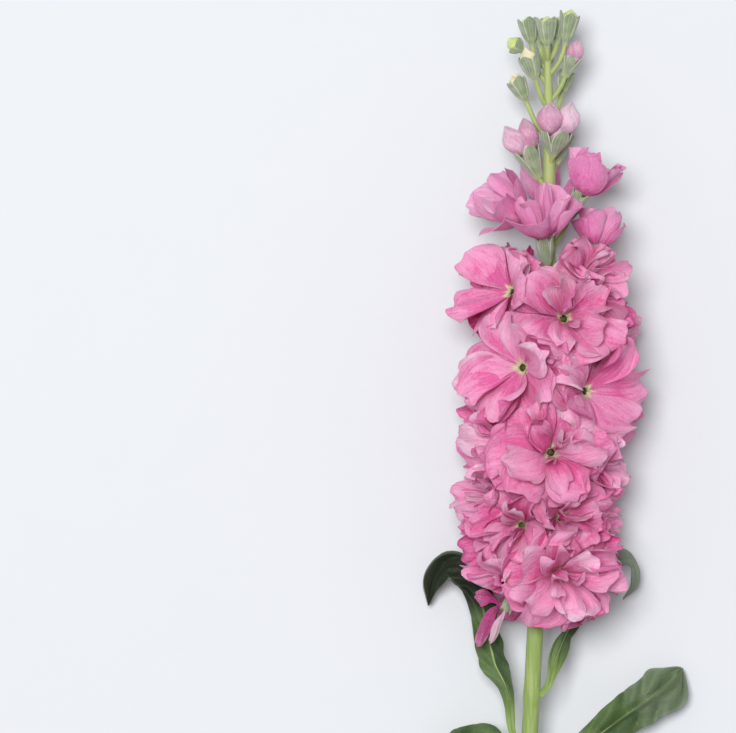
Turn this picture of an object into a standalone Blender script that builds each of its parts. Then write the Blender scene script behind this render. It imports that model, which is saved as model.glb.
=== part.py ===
"""A cut stem of double stock lying on its side, in metres.

+Y runs along the stem from its cut end to its tip, and +Z is up from the surface that it rests on. The stem
carries a dense spike of double flowers, then flowers that are still opening, pink buds and green buds.
Each flower's petals are one body that stands on its own calyx, and each leaf is a body of its own.
"""

import math
from collections import namedtuple

import bmesh
import bpy
import numpy as np
from mathutils import Matrix, Vector

MM = 0.001
GAP = 0.3 * MM  # what neighbouring bodies keep between them

# The stem's axis from the cut end to the tip: (along, across, height, radius)
STEM_KNOTS = (
    (0.0000, -0.0091, 0.0039, 0.0037),
    (0.0900, -0.0068, 0.0165, 0.0034),
    (0.1763, -0.0034, 0.0270, 0.0031),
    (0.2143, -0.0015, 0.0300, 0.0031),
    (0.2569, 0.0004, 0.0318, 0.0029),
    (0.3025, 0.0027, 0.0325, 0.0027),
    (0.3405, 0.0038, 0.0322, 0.0026),
    (0.3834, 0.0038, 0.0312, 0.0025),
    (0.4222, 0.0034, 0.0300, 0.0018),
    (0.4400, 0.0029, 0.0294, 0.0013),
)
STEM_LENGTH = 0.4400
STEM_RINGS = 17
STEM_RESOLUTION = 3

# Flowers: place along the stem, turn round it (0 faces up, 90 faces +X), reach from the axis to the face,
# tilt of the face towards the tip, length of the outer petals or half length of the bud
Flower = namedtuple("Flower", "name kind along turn reach tilt size")
FLOWERS_IN_VIEW = (
    Flower("flower_01", "open", 0.2370, 22, 0.0215, -18, 0.0235),
    Flower("flower_02", "open", 0.2300, 84, 0.0180, -14, 0.0180),
    Flower("flower_03", "open", 0.2330, -52, 0.0180, -14, 0.0180),
    Flower("flower_04", "open", 0.2450, -98, 0.0185, -4, 0.0185),
    Flower("flower_05", "open", 0.2540, 76, 0.0200, 2, 0.0190),
    Flower("flower_06", "open", 0.2550, -26, 0.0205, 0, 0.0200),
    Flower("flower_07", "open", 0.2630, -68, 0.0200, 2, 0.0200),
    Flower("flower_08", "open", 0.2830, 6, 0.0225, 0, 0.0250),
    Flower("flower_09", "open", 0.2790, 68, 0.0205, 4, 0.0205),
    Flower("flower_10", "open", 0.2860, -62, 0.0195, 2, 0.0200),
    Flower("flower_11", "open", 0.3145, -32, 0.0225, 2, 0.0245),
    Flower("flower_12", "open", 0.3065, 44, 0.0235, 2, 0.0245),
    Flower("flower_13", "open", 0.3080, -96, 0.0195, 4, 0.0200),
    Flower("flower_14", "open", 0.3440, -56, 0.0210, 14, 0.0215),
    Flower("flower_15", "open", 0.3335, 16, 0.0215, 6, 0.0245),
    Flower("flower_16", "open", 0.3300, 84, 0.0205, 6, 0.0200),
    Flower("flower_17", "open", 0.3500, 50, 0.0195, 18, 0.0195),
    Flower("flower_18", "open", 0.2590, 24, 0.0205, 2, 0.0205),
)
# The far side of the spike: three to a turn, staggered
HIDDEN_FLOWERS = 9
HIDDEN_START = 0.2330
HIDDEN_STEP = 0.0136
HIDDEN_TURNS = (180, 126, -132)
HIDDEN_REACH = 0.0200
HIDDEN_SIZE = 0.0210
FLOWERS_OPENING = (
    Flower("opening_flower_1", "opening", 0.3740, -56, 0.0165, 22, 0.0215),
    Flower("opening_flower_2", "opening", 0.3675, -10, 0.0160, 60, 0.0225),
    Flower("opening_flower_3", "opening", 0.3641, 72, 0.0198, 78, 0.0205),
    Flower("opening_flower_4", "opening", 0.3842, 64, 0.0154, 58, 0.0190),
    Flower("opening_flower_5", "opening", 0.3800, 176, 0.0195, 36, 0.0180),
    Flower("withered_flower", "withered", 0.2176, -80, 0.0143, -62, 0.0140),
)
PINK_BUDS = (
    Flower("pink_bud_1", "bud", 0.4016, -78, 0.0105, 66, 0.0062),
    Flower("pink_bud_2", "bud", 0.4092, 24, 0.0090, 68, 0.0074),
    Flower("pink_bud_3", "bud", 0.4355, 88, 0.0108, 66, 0.0046),
    Flower("pink_bud_4", "bud", 0.4060, 150, 0.0125, 60, 0.0058),
)
# How many lobes each bud's folded petals show, and the way that the first lies from its middle
BUD_LOBES = {
    "pink_bud_1": (2, 0),
    "pink_bud_2": (2, 90),
    "pink_bud_3": (1, 0),
    "pink_bud_4": (2, 30),
}
GREEN_BUDS = (
    Flower("green_bud_1", "green", 0.4388, -82, 0.0130, 40, 0.0040),
    Flower("green_bud_2", "green", 0.4305, -50, 0.0085, 70, 0.0056),
    Flower("green_bud_3", "green", 0.4222, -95, 0.0110, 66, 0.0052),
    Flower("green_bud_4", "green", 0.4446, -95, 0.0068, 80, 0.0056),
    Flower("green_bud_5", "green", 0.4440, 0, 0.0040, 86, 0.0060),
    Flower("green_bud_6", "green", 0.4450, 78, 0.0085, 78, 0.0056),
    Flower("green_bud_7", "green", 0.4450, 120, 0.0056, 80, 0.0050),
    Flower("green_bud_8", "green", 0.4440, -150, 0.0056, 80, 0.0054),
    Flower("green_bud_9", "green", 0.4350, 180, 0.0085, 70, 0.0052),
    Flower("green_bud_10", "green", 0.4250, 140, 0.0105, 66, 0.0052),
)


def hidden_flowers():
    """The flowers of the far side, by rule."""
    return tuple(
        Flower(
            f"flower_{len(FLOWERS_IN_VIEW) + k + 1}",
            "open",
            HIDDEN_START + HIDDEN_STEP * k,
            HIDDEN_TURNS[k % len(HIDDEN_TURNS)],
            HIDDEN_REACH,
            6,
            HIDDEN_SIZE,
        )
        for k in range(HIDDEN_FLOWERS)
    )


FLOWERS = FLOWERS_IN_VIEW + hidden_flowers() + FLOWERS_OPENING + PINK_BUDS + GREEN_BUDS

# A ring of petals: how many, their length and half width as shares of the flower's size, the angles from
# the flower's axis at which they start and end, how high above the calyx's mouth they stand, and how many
# rows of faces run along each
Whorl = namedtuple("Whorl", "petals length width start spread height rows")
ROSETTES = {
    "open": (
        Whorl(5, 1.0, 0.72, 56, 84, 0.9 * MM, 3),
        Whorl(3, 0.74, 0.60, 30, 46, 2.2 * MM, 2),
    ),
    "opening": (
        Whorl(5, 1.0, 0.76, 66, 22, 0.9 * MM, 3),
        Whorl(3, 0.76, 0.55, 32, 4, 2.2 * MM, 2),
    ),
    "withered": (Whorl(3, 1.0, 0.36, 16, 20, 0.9 * MM, 3),),
}
OVERLAP = 6  # degrees past its share of the ring that a petal may reach
PETAL_ACROSS = 2
PETAL_THICKNESS = 0.65 * MM
CLAW_SHARE = 0.14
WIDE_BY = 0.62  # the share of its length by which a petal is at its widest
ROUNDNESS = 0.7  # how far a petal's outer corners are drawn in
TWIST = 12  # each petal's one edge lies this many degrees above its middle, and its other edge below
RUFFLE = 6
SEED = 1700
HEART_RADIUS = 1.2 * MM
ROOT_RADIUS = 1.5 * MM
MOUTH_DEPTH = 5.0 * MM  # from the flower's face back to the calyx's mouth

# How petals keep clear of their neighbours
FOLDS = np.arange(1.0, 0.34, -0.06)
TURNS = 24
PRESSED = 0.72  # a petal folds until its space reaches this share of its length, and is drawn in beyond that
CLEAR = 0.5 * (PETAL_THICKNESS + GAP) + 0.05 * MM
SITE_STEP = 3.0 * MM
SITE_RADIUS = 2.6 * MM
REACH_OF_SITES = 0.045
FLOOR_CLEAR = 0.4 * MM

# Calyces: (distance back from the mouth, radius), by kind
CALYCES = {
    "open": ((9.0, 0.9), (5.5, 2.1), (0.0, 2.2)),
    "withered": ((7.0, 0.8), (4.5, 1.8), (0.0, 1.9)),
    "opening": ((11.0, 1.0), (8.5, 1.9), (4.0, 2.8), (0.0, 2.9)),
    "bud": ((10.0, 0.9), (8.0, 1.8), (3.5, 3.0), (0.0, 3.1)),
    "green": ((1.5, 0.9), (0.0, 1.5)),
}
PEDICEL_RADIUS = 0.85 * MM
SEPAL_RISE = 2.2 * MM
SEPAL_FLARE = 1.6 * MM

# Leaves: where each leaves the stem, then its midrib as (across, along, height, half width, roll)
LEAVES = {
    "leaf_1": (
        (0.1690, -85),
        (-0.0122, 0.1915, 0.0235, 0.0028, 20),
        (-0.0168, 0.2020, 0.0212, 0.0060, 25),
        (-0.0192, 0.2120, 0.0190, 0.0050, 20),
        (-0.0215, 0.2230, 0.0175, 0.0052, 20),
        (-0.0265, 0.2345, 0.0170, 0.0056, 0),
        (-0.0335, 0.2385, 0.0155, 0.0054, -10),
        (-0.0400, 0.2330, 0.0110, 0.0042, -10),
        (-0.0420, 0.2230, 0.0065, 0.0014, 0),
    ),
    "leaf_2": (
        (0.1895, 75),
        (0.0066, 0.2035, 0.0245, 0.0032, -20),
        (0.0110, 0.2130, 0.0205, 0.0026, -25),
        (0.0180, 0.2235, 0.0170, 0.0036, -20),
        (0.0256, 0.2345, 0.0160, 0.0040, 0),
        (0.0310, 0.2415, 0.0165, 0.0034, 30),
        (0.0362, 0.2395, 0.0160, 0.0028, 50),
        (0.0375, 0.2320, 0.0140, 0.0020, 50),
        (0.0330, 0.2255, 0.0115, 0.0008, 30),
    ),
    "leaf_3": (
        (0.1390, 80),
        (0.0060, 0.1565, 0.0205, 0.0026, 10),
        (0.0170, 0.1680, 0.0180, 0.0052, 15),
        (0.0290, 0.1775, 0.0155, 0.0070, 15),
        (0.0410, 0.1855, 0.0120, 0.0082, 10),
        (0.0505, 0.1920, 0.0085, 0.0088, 0),
        (0.0560, 0.1985, 0.0055, 0.0036, 0),
    ),
    "leaf_4": (
        (0.1270, -70),
        (-0.0122, 0.1440, 0.0240, 0.0030, 20),
        (-0.0135, 0.1580, 0.0250, 0.0054, 20),
        (-0.0160, 0.1675, 0.0235, 0.0062, 10),
        (-0.0210, 0.1715, 0.0205, 0.0064, 0),
        (-0.0290, 0.1700, 0.0150, 0.0060, -10),
        (-0.0370, 0.1630, 0.0090, 0.0046, -10),
        (-0.0420, 0.1540, 0.0040, 0.0014, 0),
    ),
    "leaf_5": (
        (0.1080, 100),
        (0.0090, 0.1220, 0.0155, 0.0044, 10),
        (0.0230, 0.1320, 0.0125, 0.0066, 10),
        (0.0390, 0.1370, 0.0085, 0.0066, 0),
        (0.0530, 0.1360, 0.0038, 0.0046, 0),
        (0.0610, 0.1320, 0.0012, 0.0014, 0),
    ),
    "leaf_6": (
        (0.0960, -110),
        (-0.0200, 0.1090, 0.0125, 0.0044, -10),
        (-0.0330, 0.1190, 0.0100, 0.0068, -10),
        (-0.0460, 0.1310, 0.0070, 0.0066, 0),
        (-0.0550, 0.1430, 0.0034, 0.0042, 0),
        (-0.0580, 0.1500, 0.0012, 0.0014, 0),
    ),
    "leaf_7": (
        (0.1130, 10),
        (-0.0030, 0.1300, 0.0330, 0.0038, 0),
        (0.0010, 0.1450, 0.0400, 0.0058, 5),
        (0.0050, 0.1590, 0.0420, 0.0056, 5),
        (0.0080, 0.1690, 0.0400, 0.0036, 0),
        (0.0095, 0.1740, 0.0380, 0.0012, 0),
    ),
}
LEAF_ACROSS = 2
LEAF_ALONG = 11
LEAF_THICKNESS = 0.8 * MM
LEAF_WAVE = 0.22
LEAF_FOLD = 0.18
LEAF_BASE_WIDTH = 1.1 * MM

COLOURS = {
    "petal": (0.73, 0.22, 0.42, 0.55),
    "bud_petal": (0.72, 0.36, 0.54, 0.55),
    "withered_petal": (0.42, 0.10, 0.24, 0.6),
    "stem": (0.28, 0.40, 0.09, 0.5),
    "leaf": (0.07, 0.14, 0.035, 0.6),
}


def smooth_through(knots, at):
    """The knots' columns at a place along the first, on a smooth curve through them."""
    knots = np.asarray(knots, float)
    x = knots[:, 0]
    slopes = np.gradient(knots[:, 1:], x, axis=0)
    k = int(np.clip(np.searchsorted(x, at) - 1, 0, len(x) - 2))
    width = x[k + 1] - x[k]
    t = np.clip((at - x[k]) / width, 0, 1)
    return (
        (2 * t**3 - 3 * t**2 + 1) * knots[k, 1:]
        + (t**3 - 2 * t**2 + t) * width * slopes[k]
        + (3 * t**2 - 2 * t**3) * knots[k + 1, 1:]
        + (t**3 - t**2) * width * slopes[k + 1]
    )


def axis_point(along):
    across, height, _ = smooth_through(STEM_KNOTS, along)
    return np.array((across, along, height))


def stem_radius(along):
    return smooth_through(STEM_KNOTS, along)[2]


def unit(vector):
    return vector / np.linalg.norm(vector)


def stem_frame(along):
    """(tangent, up, right) of the stem's axis at this place."""
    step = 1 * MM
    tangent = unit(axis_point(along + step) - axis_point(along - step))
    right = unit(np.cross(tangent, (0, 0, 1)))
    return tangent, np.cross(right, tangent), right


def outward_at(along, turn):
    _, up, right = stem_frame(along)
    return math.cos(math.radians(turn)) * up + math.sin(math.radians(turn)) * right


class Place:
    """Where a flower stands: its face's centre, its calyx's mouth, and the way that it faces."""

    def __init__(self, flower):
        along = min(flower.along, STEM_LENGTH - 2 * MM)
        self.flower = flower
        self.tangent = stem_frame(along)[0]
        self.outward = outward_at(along, flower.turn)
        tilt = math.radians(flower.tilt)
        self.facing = math.cos(tilt) * self.outward + math.sin(tilt) * self.tangent
        self.axis = axis_point(along) + (flower.along - along) * self.tangent
        self.face = self.axis + flower.reach * self.outward
        depth = flower.size if flower.kind in ("bud", "green") else MOUTH_DEPTH
        self.mouth = self.face - depth * self.facing
        self.heart = self.mouth + 1.2 * MM * self.facing
        self.tipward = unit(self.tangent - (self.tangent @ self.facing) * self.facing)
        self.aside = np.cross(self.facing, self.tipward)

    def pedicel(self, count):
        """Points from the stem's axis to the calyx's mouth, on one smooth curve."""
        reach = (self.mouth - self.axis) @ self.outward
        beyond = (self.mouth - self.axis) @ self.tangent
        drop = reach * (0.35 + 1.5 * max(0.0, math.sin(math.radians(self.flower.tilt))))
        drop = max(drop, 5 * MM) if self.flower.kind == "green" else drop
        start = axis_point(min(self.flower.along + beyond - drop, STEM_LENGTH - 4 * MM))
        span = np.linalg.norm(self.mouth - start)
        leave = unit(self.outward + 0.9 * self.tangent) * 0.4 * span
        arrive = self.mouth - self.facing * 0.45 * span
        t = np.linspace(0, 1, count)[:, None]
        return (
            (1 - t) ** 3 * start
            + 3 * (1 - t) ** 2 * t * (start + leave)
            + 3 * (1 - t) * t**2 * arrive
            + t**3 * self.mouth
        )


PLACES = [Place(flower) for flower in FLOWERS]


def leaf_base(along, turn):
    """The leaf's first two points: against the stem, then a little way out."""
    outward = outward_at(along, turn)
    tangent = stem_frame(along)[0]
    lean = abs(math.sin(math.radians(turn)))
    first = axis_point(along) + (stem_radius(along) + GAP + (0.45 + 0.6 * lean) * MM) * outward
    return first, first + 5 * MM * unit((0.3 + 0.4 * (1 - lean)) * outward + 0.8 * tangent)


def leaf_knots(name):
    """Rows of (run, across, along, height, half width, roll), where run is a share of the leaf's length."""
    (along, turn), *rows = LEAVES[name]
    first, second = leaf_base(along, turn)
    rows = [(*first, LEAF_BASE_WIDTH, 0), (*second, 1.2 * LEAF_BASE_WIDTH, rows[0][4]), *rows]
    points = np.array(rows, float)
    steps = np.linalg.norm(np.diff(points[:, :3], axis=0), axis=1)
    run = np.concatenate(([0], np.cumsum(steps)))
    return np.column_stack((run / run[-1], points))


def leaf_sites():
    """Points on the leaves where flowers are near."""
    sites = []
    for name in ("leaf_1", "leaf_2"):
        knots = leaf_knots(name)
        for run in np.linspace(0.1, 1, 16):
            point = smooth_through(knots, run)[:3]
            if point[1] > 0.205:
                sites.append(point)
    return sites


LEAF_SITES = leaf_sites()


def cell_planes(place):
    """(normals, offsets) of the planes round a flower's own space: inside is normal . x > offset."""
    planes = [
        (place.facing, place.facing @ place.mouth + GAP),
        (place.outward, place.outward @ place.axis + stem_radius(place.flower.along) + 2 * MM),
        (np.array((0.0, 0.0, 1.0)), FLOOR_CLEAR),
    ]
    size = place.flower.size
    sites = [(point, 0) for point in LEAF_SITES]
    for other in PLACES:
        if other is place:
            continue
        length = np.linalg.norm(np.diff(other.pedicel(12), axis=0), axis=1).sum()
        if other.flower.kind != "green":
            sites.append((other.face, max(other.flower.size, 6 * MM)))
        sites += [(point, 0) for point in other.pedicel(max(3, int(length / SITE_STEP)))]
    for site, radius in sites:
        away = place.face - site
        distance = np.linalg.norm(away)
        if distance > REACH_OF_SITES:
            continue
        if radius:
            share = distance / 2 + (size**2 - radius**2) / (2 * distance)
            share = min(max(share, 0.25 * distance), 0.75 * distance)
        else:
            share = distance - SITE_RADIUS
        normal = away / distance
        planes.append((normal, normal @ (place.face - share * normal)))
    normals, offsets = zip(*planes)
    return np.array(normals), np.array(offsets)


class Room:
    """The space round a flower's heart, and how far its petals fold in each direction to stay in it."""

    def __init__(self, place):
        self.place = place
        self.normals, self.offsets = cell_planes(place)
        self.depth = np.maximum(self.normals @ place.heart - self.offsets - CLEAR, 0.2 * MM)
        outer = ROSETTES[place.flower.kind][0]
        run = np.linspace(0.15, 1, 8)
        folds = []
        for turn in np.radians(np.arange(TURNS) * 360 / TURNS):
            best = (-1.0, 0.4)
            for fold in FOLDS:
                flat, even = np.zeros(8), np.ones(8)
                points = whorl_points(place, outer, run, np.full(8, turn), np.full(8, fold), flat, even)
                share = self.share(points).min()
                if share > best[0] + 0.02:
                    best = (share, fold)
                if share > PRESSED:
                    break
            folds.append(best[1])
        folds = np.array(folds)
        folds = np.minimum(folds, (np.roll(folds, 1) + folds + np.roll(folds, -1)) / 3 + 0.06)
        self.folds = (np.roll(folds, 1) + 2 * folds + np.roll(folds, -1)) / 4

    def fold_at(self, turn):
        place = (np.degrees(turn) % 360) * TURNS / 360
        low = place.astype(int) % TURNS
        high = (low + 1) % TURNS
        return self.folds[low] + (place - place.astype(int)) * (self.folds[high] - self.folds[low])

    def share(self, points):
        """How many times as far as each point the space reaches in its direction from the heart."""
        falls = -(points - self.place.heart) @ self.normals.T
        limits = np.where(falls > 0, self.depth / np.maximum(falls, 1e-9), 1e9)
        return limits.min(axis=1)

    def hold(self, points):
        """Draws points towards the heart so that they stay in the space, the far ones more."""
        over = 1 / self.share(points)
        return self.place.heart + (points - self.place.heart) / (1 + over**5)[:, None] ** 0.2


def whorl_points(place, whorl, run, turn, fold, lift, scale):
    """Points at this run along the petals of a whorl, in the directions turn round the flower's axis."""
    length = whorl.length * place.flower.size * scale
    steps = (np.arange(12) + 0.5) / 12
    inner = run[:, None] * steps
    opened = np.clip(inner / 0.5, 0, 1)
    angle = whorl.start + (whorl.spread - whorl.start) * opened * opened * (3 - 2 * opened)
    angle = np.radians(angle * fold[:, None] + (lift * run)[:, None])
    out = ROOT_RADIUS + length * run * np.sin(angle).mean(axis=1)
    up = whorl.height + length * run * np.cos(angle).mean(axis=1)
    away = np.cos(turn)[:, None] * place.tipward + np.sin(turn)[:, None] * place.aside
    return place.mouth + out[:, None] * away + up[:, None] * place.facing


def petal_points(square, room, whorl, middle, draw):
    """Points of a petal's middle surface; square holds (across, along) from -1 to 1, with a rounded end."""
    across, along = square[:, 0], square[:, 1]
    round_off = np.where(along > 0, ROUNDNESS, 0)
    disc_x = across * (1 - round_off * (1 - np.sqrt(1 - along**2 / 2)))
    disc_y = along * (1 - round_off * (1 - np.sqrt(1 - across**2 / 2)))
    run = (disc_y + 1) / 2
    widen = np.clip(run / WIDE_BY, 0, 1)
    taper = CLAW_SHARE + (1 - CLAW_SHARE) * widen * widen * (3 - 2 * widen)
    half = whorl.width * whorl.length * disc_x * taper
    share = math.pi / whorl.petals
    turn = np.arctan2(half, ROOT_RADIUS / room.place.flower.size + whorl.length * run)
    sector = share + math.radians(OVERLAP)
    root = run < 1e-6
    turn = middle + np.where(root, across * share, sector * np.tanh(turn / sector))
    wave = np.sin(math.pi * (draw["waves"] * disc_x + draw["phase"] + run))
    lift = np.where(root, 0, -TWIST * disc_x + RUFFLE * wave)
    scale = np.where(root, 1.0, draw["length"])
    return room.hold(whorl_points(room.place, whorl, run, turn, room.fold_at(turn), lift, scale))


def whorl_draws(flower):
    """Each whorl with its petals' own (turn, draw), from a seed that is the flower's place in the spike."""
    random = np.random.default_rng(SEED + FLOWERS.index(flower))
    start = random.uniform(0, 360)
    for number, whorl in enumerate(ROSETTES[flower.kind]):
        petals = []
        for k in range(whorl.petals):
            turn = start + 360 * (k + 0.5 * number) / whorl.petals
            draw = {
                "waves": random.uniform(0.8, 1.4),
                "phase": random.uniform(0, 2),
                "length": random.uniform(0.88, 1.08),
            }
            petals.append((math.radians(turn), draw))
        yield whorl, petals


def clear_scene():
    for obj in list(bpy.data.objects):
        bpy.data.objects.remove(obj)


def material(name):
    red, green, blue, roughness = COLOURS[name]
    made = bpy.data.materials.get(name) or bpy.data.materials.new(name)
    made.use_nodes = True
    shader = made.node_tree.nodes["Principled BSDF"]
    shader.inputs["Base Color"].default_value = (red, green, blue, 1)
    shader.inputs["Roughness"].default_value = roughness
    shader.inputs["Metallic"].default_value = 0
    return made


def object_of(name, mesh, colour):
    obj = bpy.data.objects.new(name, mesh)
    bpy.context.scene.collection.objects.link(obj)
    if colour:
        mesh.materials.clear()
        mesh.materials.append(material(colour))
    return obj


def baked(obj, name, colour):
    """The object's evaluated mesh as a new plain object, in place of the old one."""
    bpy.context.view_layer.update()
    graph = bpy.context.evaluated_depsgraph_get()
    mesh = bpy.data.meshes.new_from_object(obj.evaluated_get(graph))
    mesh.transform(obj.matrix_world)
    bpy.data.objects.remove(obj)
    return object_of(name, mesh, colour)


def reshaped(obj, change):
    """Runs change on the object's mesh as a bmesh."""
    work = bmesh.new()
    work.from_mesh(obj.data)
    change(work)
    work.to_mesh(obj.data)
    work.free()
    return obj


def grid(work, across, along, place_points):
    """Adds a grid to the bmesh: place_points turns (across, along) from -1 to 1 into points."""
    made = bmesh.ops.create_grid(work, x_segments=across, y_segments=along, size=1)["verts"]
    square = np.array([v.co[:2] for v in made])
    square = np.where(np.abs(square) > 1 - 1e-6, np.sign(square), square)
    for vertex, point in zip(made, place_points(square)):
        vertex.co = point


def thickened(name, work, thickness):
    """The bmesh's surface as a thin solid, split into triangles alike on both faces."""
    bmesh.ops.triangulate(work, faces=work.faces, quad_method="SHORT_EDGE")
    mesh = bpy.data.meshes.new(name)
    work.to_mesh(mesh)
    work.free()
    obj = object_of(name, mesh, None)
    solid = obj.modifiers.new("thickness", "SOLIDIFY")
    solid.thickness = thickness
    solid.offset = 0
    return baked(obj, name, None)


def outer_shell(work):
    """Keeps the largest shell: a pocket that crossing petals closed off is filled by dropping its wall."""
    waiting = set(work.faces)
    shells = []
    while waiting:
        shell = []
        found = [waiting.pop()]
        while found:
            face = found.pop()
            shell.append(face)
            for edge in face.edges:
                beside = [other for other in edge.link_faces if other in waiting]
                waiting.difference_update(beside)
                found += beside
        shells.append(shell)
    shells.sort(key=len)
    for shell in shells[:-1]:
        bmesh.ops.delete(work, geom=shell, context="FACES")


def union(base, others, name, colour):
    """base joined with the others in one body."""
    pieces = bpy.data.collections.new(name + "_pieces")
    bpy.context.scene.collection.children.link(pieces)
    for other in others:
        bpy.context.scene.collection.objects.unlink(other)
        pieces.objects.link(other)
    join = base.modifiers.new("join", "BOOLEAN")
    join.operation = "UNION"
    join.operand_type = "COLLECTION"
    join.solver = "MANIFOLD"
    join.collection = pieces
    made = baked(base, name, colour)
    for other in others:
        bpy.data.objects.remove(other)
    bpy.data.collections.remove(pieces)
    return reshaped(made, outer_shell)


def tube(name, points, radii, resolution):
    """A round tube along the points, closed at both ends, as a mesh."""
    curve = bpy.data.curves.new(name, "CURVE")
    curve.dimensions = "3D"
    curve.bevel_depth = 1
    curve.bevel_resolution = resolution
    curve.use_fill_caps = True
    spline = curve.splines.new("POLY")
    spline.points.add(len(points) - 1)
    for knot, point, radius in zip(spline.points, points, radii):
        knot.co = (*point, 1)
        knot.radius = radius
    obj = bpy.data.objects.new(name, curve)
    bpy.context.scene.collection.objects.link(obj)
    made = baked(obj, name, None)

    def close(work):
        bmesh.ops.remove_doubles(work, verts=work.verts, dist=0.00001)
        bmesh.ops.recalc_face_normals(work, faces=work.faces)

    return reshaped(made, close)


def make_rosette(place):
    """An open or opening flower: rings of petals, each joined at its middle, on one heart."""
    flower = place.flower
    room = Room(place)
    rings = []
    for whorl, petals in whorl_draws(flower):
        work = bmesh.new()
        for middle, draw in petals:
            grid(
                work,
                PETAL_ACROSS,
                whorl.rows,
                lambda square: petal_points(square, room, whorl, middle, draw),
            )
        bmesh.ops.remove_doubles(work, verts=work.verts, dist=0.01 * MM)
        near = 1.3 * math.hypot(ROOT_RADIUS, whorl.height)
        mouth = Vector(place.mouth)
        rim = [edge for edge in work.edges if edge.is_boundary]
        inner = [edge for edge in rim if all((v.co - mouth).length < near for v in edge.verts)]
        bmesh.ops.edgeloop_fill(work, edges=inner)
        bmesh.ops.recalc_face_normals(work, faces=work.faces)
        rings.append(thickened("ring", work, PETAL_THICKNESS))
    whorls = ROSETTES[flower.kind]
    top = whorls[1].height if len(whorls) > 1 else 3 * MM
    heart = tube(
        "heart",
        [place.mouth + height * place.facing for height in (whorls[0].height, top)],
        (HEART_RADIUS, HEART_RADIUS),
        0,
    )
    return union(heart, rings, flower.name, "withered_petal" if flower.kind == "withered" else "petal")


def make_bud(place):
    """A pink bud: folded petals that show as one or two lobes, on a short neck."""
    flower = place.flower
    lobes, first = BUD_LOBES[flower.name]
    neck = tube(
        "neck",
        (place.mouth + GAP * place.facing, place.mouth + 4.5 * MM * place.facing),
        (2.0 * MM, 2.6 * MM),
        1,
    )
    made = []
    for k in range(lobes):
        turn = math.radians(first + 360 * k / lobes)
        away = math.cos(turn) * place.tipward + math.sin(turn) * place.aside
        radius = flower.size * (0.66 if lobes == 1 else 0.56)
        lean = 0 if lobes == 1 else 0.46 * flower.size
        mesh = bpy.data.meshes.new("lobe")
        work = bmesh.new()
        bmesh.ops.create_uvsphere(work, u_segments=8, v_segments=6, radius=1)
        top = unit(place.facing + 0.12 * away) if lobes > 1 else place.facing
        side = unit(np.cross(top, away + 0.01 * place.tipward))
        centre = place.mouth + (flower.size + 2.0 * MM) * place.facing + lean * away
        for vertex in work.verts:
            x, y, z = vertex.co
            slim = 1 - 0.25 * max(z, 0) ** 2 - 0.35 * max(-z, 0) ** 2
            point = centre + flower.size * z * top + radius * slim * (x * side + y * np.cross(top, side))
            vertex.co = point
        work.to_mesh(mesh)
        work.free()
        made.append(object_of("lobe", mesh, None))
    return union(neck, made, flower.name, "bud_petal")


def crown(work, place):
    """Opens a calyx's flat end into four pointed sepals."""
    centre, facing = Vector(place.mouth), Vector(place.facing)
    flat = []
    for face in work.faces:
        if all(abs((v.co - centre).dot(facing)) < 0.05 * MM for v in face.verts):
            flat.append(face)
    end = bmesh.ops.dissolve_faces(work, faces=flat)["region"][0]
    rim = [vertex.co.copy() for vertex in end.verts]
    bmesh.ops.inset_individual(work, faces=[end], thickness=0.7 * MM)
    for corner in rim[::2]:
        for vertex in work.verts:
            if (vertex.co - corner).length < 0.01 * MM:
                vertex.co += SEPAL_RISE * facing + SEPAL_FLARE * (corner - centre).normalized()


def calyx_parts(place):
    """A flower's pedicel and calyx, or a whole green bud on its pedicel."""
    kind = place.flower.kind
    line = place.pedicel(7)
    stations = [(distance * MM, radius * MM) for distance, radius in CALYCES[kind]]
    longest = 0.62 * np.linalg.norm(place.mouth - line[0])
    squeeze = min(1, longest / stations[0][0])
    points = [place.mouth - squeeze * distance * place.facing for distance, _ in stations]
    radii = [radius for _, radius in stations]
    neck = [point for point in line[::3][:-1] if (points[0] - point) @ place.facing > 2 * MM]
    points = [line[0]] + neck[1:] + points
    radii = [PEDICEL_RADIUS] * (1 + len(neck[1:])) + radii
    if kind == "green":
        size = place.flower.size
        for share, width in ((0.4, 0.60), (1.3, 0.70), (1.9, 0.60), (2.1, 0.36)):
            points.append(place.mouth + share * size * place.facing)
            radii.append(width * size)
    showing = kind in ("opening", "bud")
    made = tube("calyx", points, radii, 2 if showing else 1 if kind == "green" else 0)
    if showing:
        reshaped(made, lambda work: crown(work, place))
    return made


def make_stem():
    """The stem with every pedicel, calyx and green bud that grows from it."""
    places = np.linspace(0, STEM_LENGTH, STEM_RINGS)
    points = [axis_point(along) for along in places]
    radii = [stem_radius(along) for along in places]
    stem = tube("stem", points, radii, STEM_RESOLUTION)
    return union(stem, [calyx_parts(place) for place in PLACES], "stem", "stem")


def leaf_points(square, name):
    """Points of a leaf's middle surface: a strap with waved edges that folds up at its midrib."""
    knots = leaf_knots(name)
    number = list(LEAVES).index(name)
    points = []
    for across, along in square:
        run = (along + 1) / 2
        row = smooth_through(knots, run)
        ahead = smooth_through(knots, run + 0.01)[:3]
        behind = smooth_through(knots, run - 0.01)[:3]
        tangent = unit(ahead - behind)
        level = unit(np.cross(tangent, (0, 0, 1)))
        over = np.cross(level, tangent)
        roll = math.radians(row[4])
        side = math.cos(roll) * level + math.sin(roll) * over
        face = np.cross(side, tangent)
        wave = math.sin(2 * math.pi * (2.6 * run + 0.31 * number + 0.25 * (across > 0)))
        lift = row[3] * (LEAF_FOLD * abs(across) + LEAF_WAVE * abs(across) * wave * min(1, 4 * run))
        points.append(row[:3] + across * row[3] * side + lift * face)
    return np.array(points)


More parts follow.
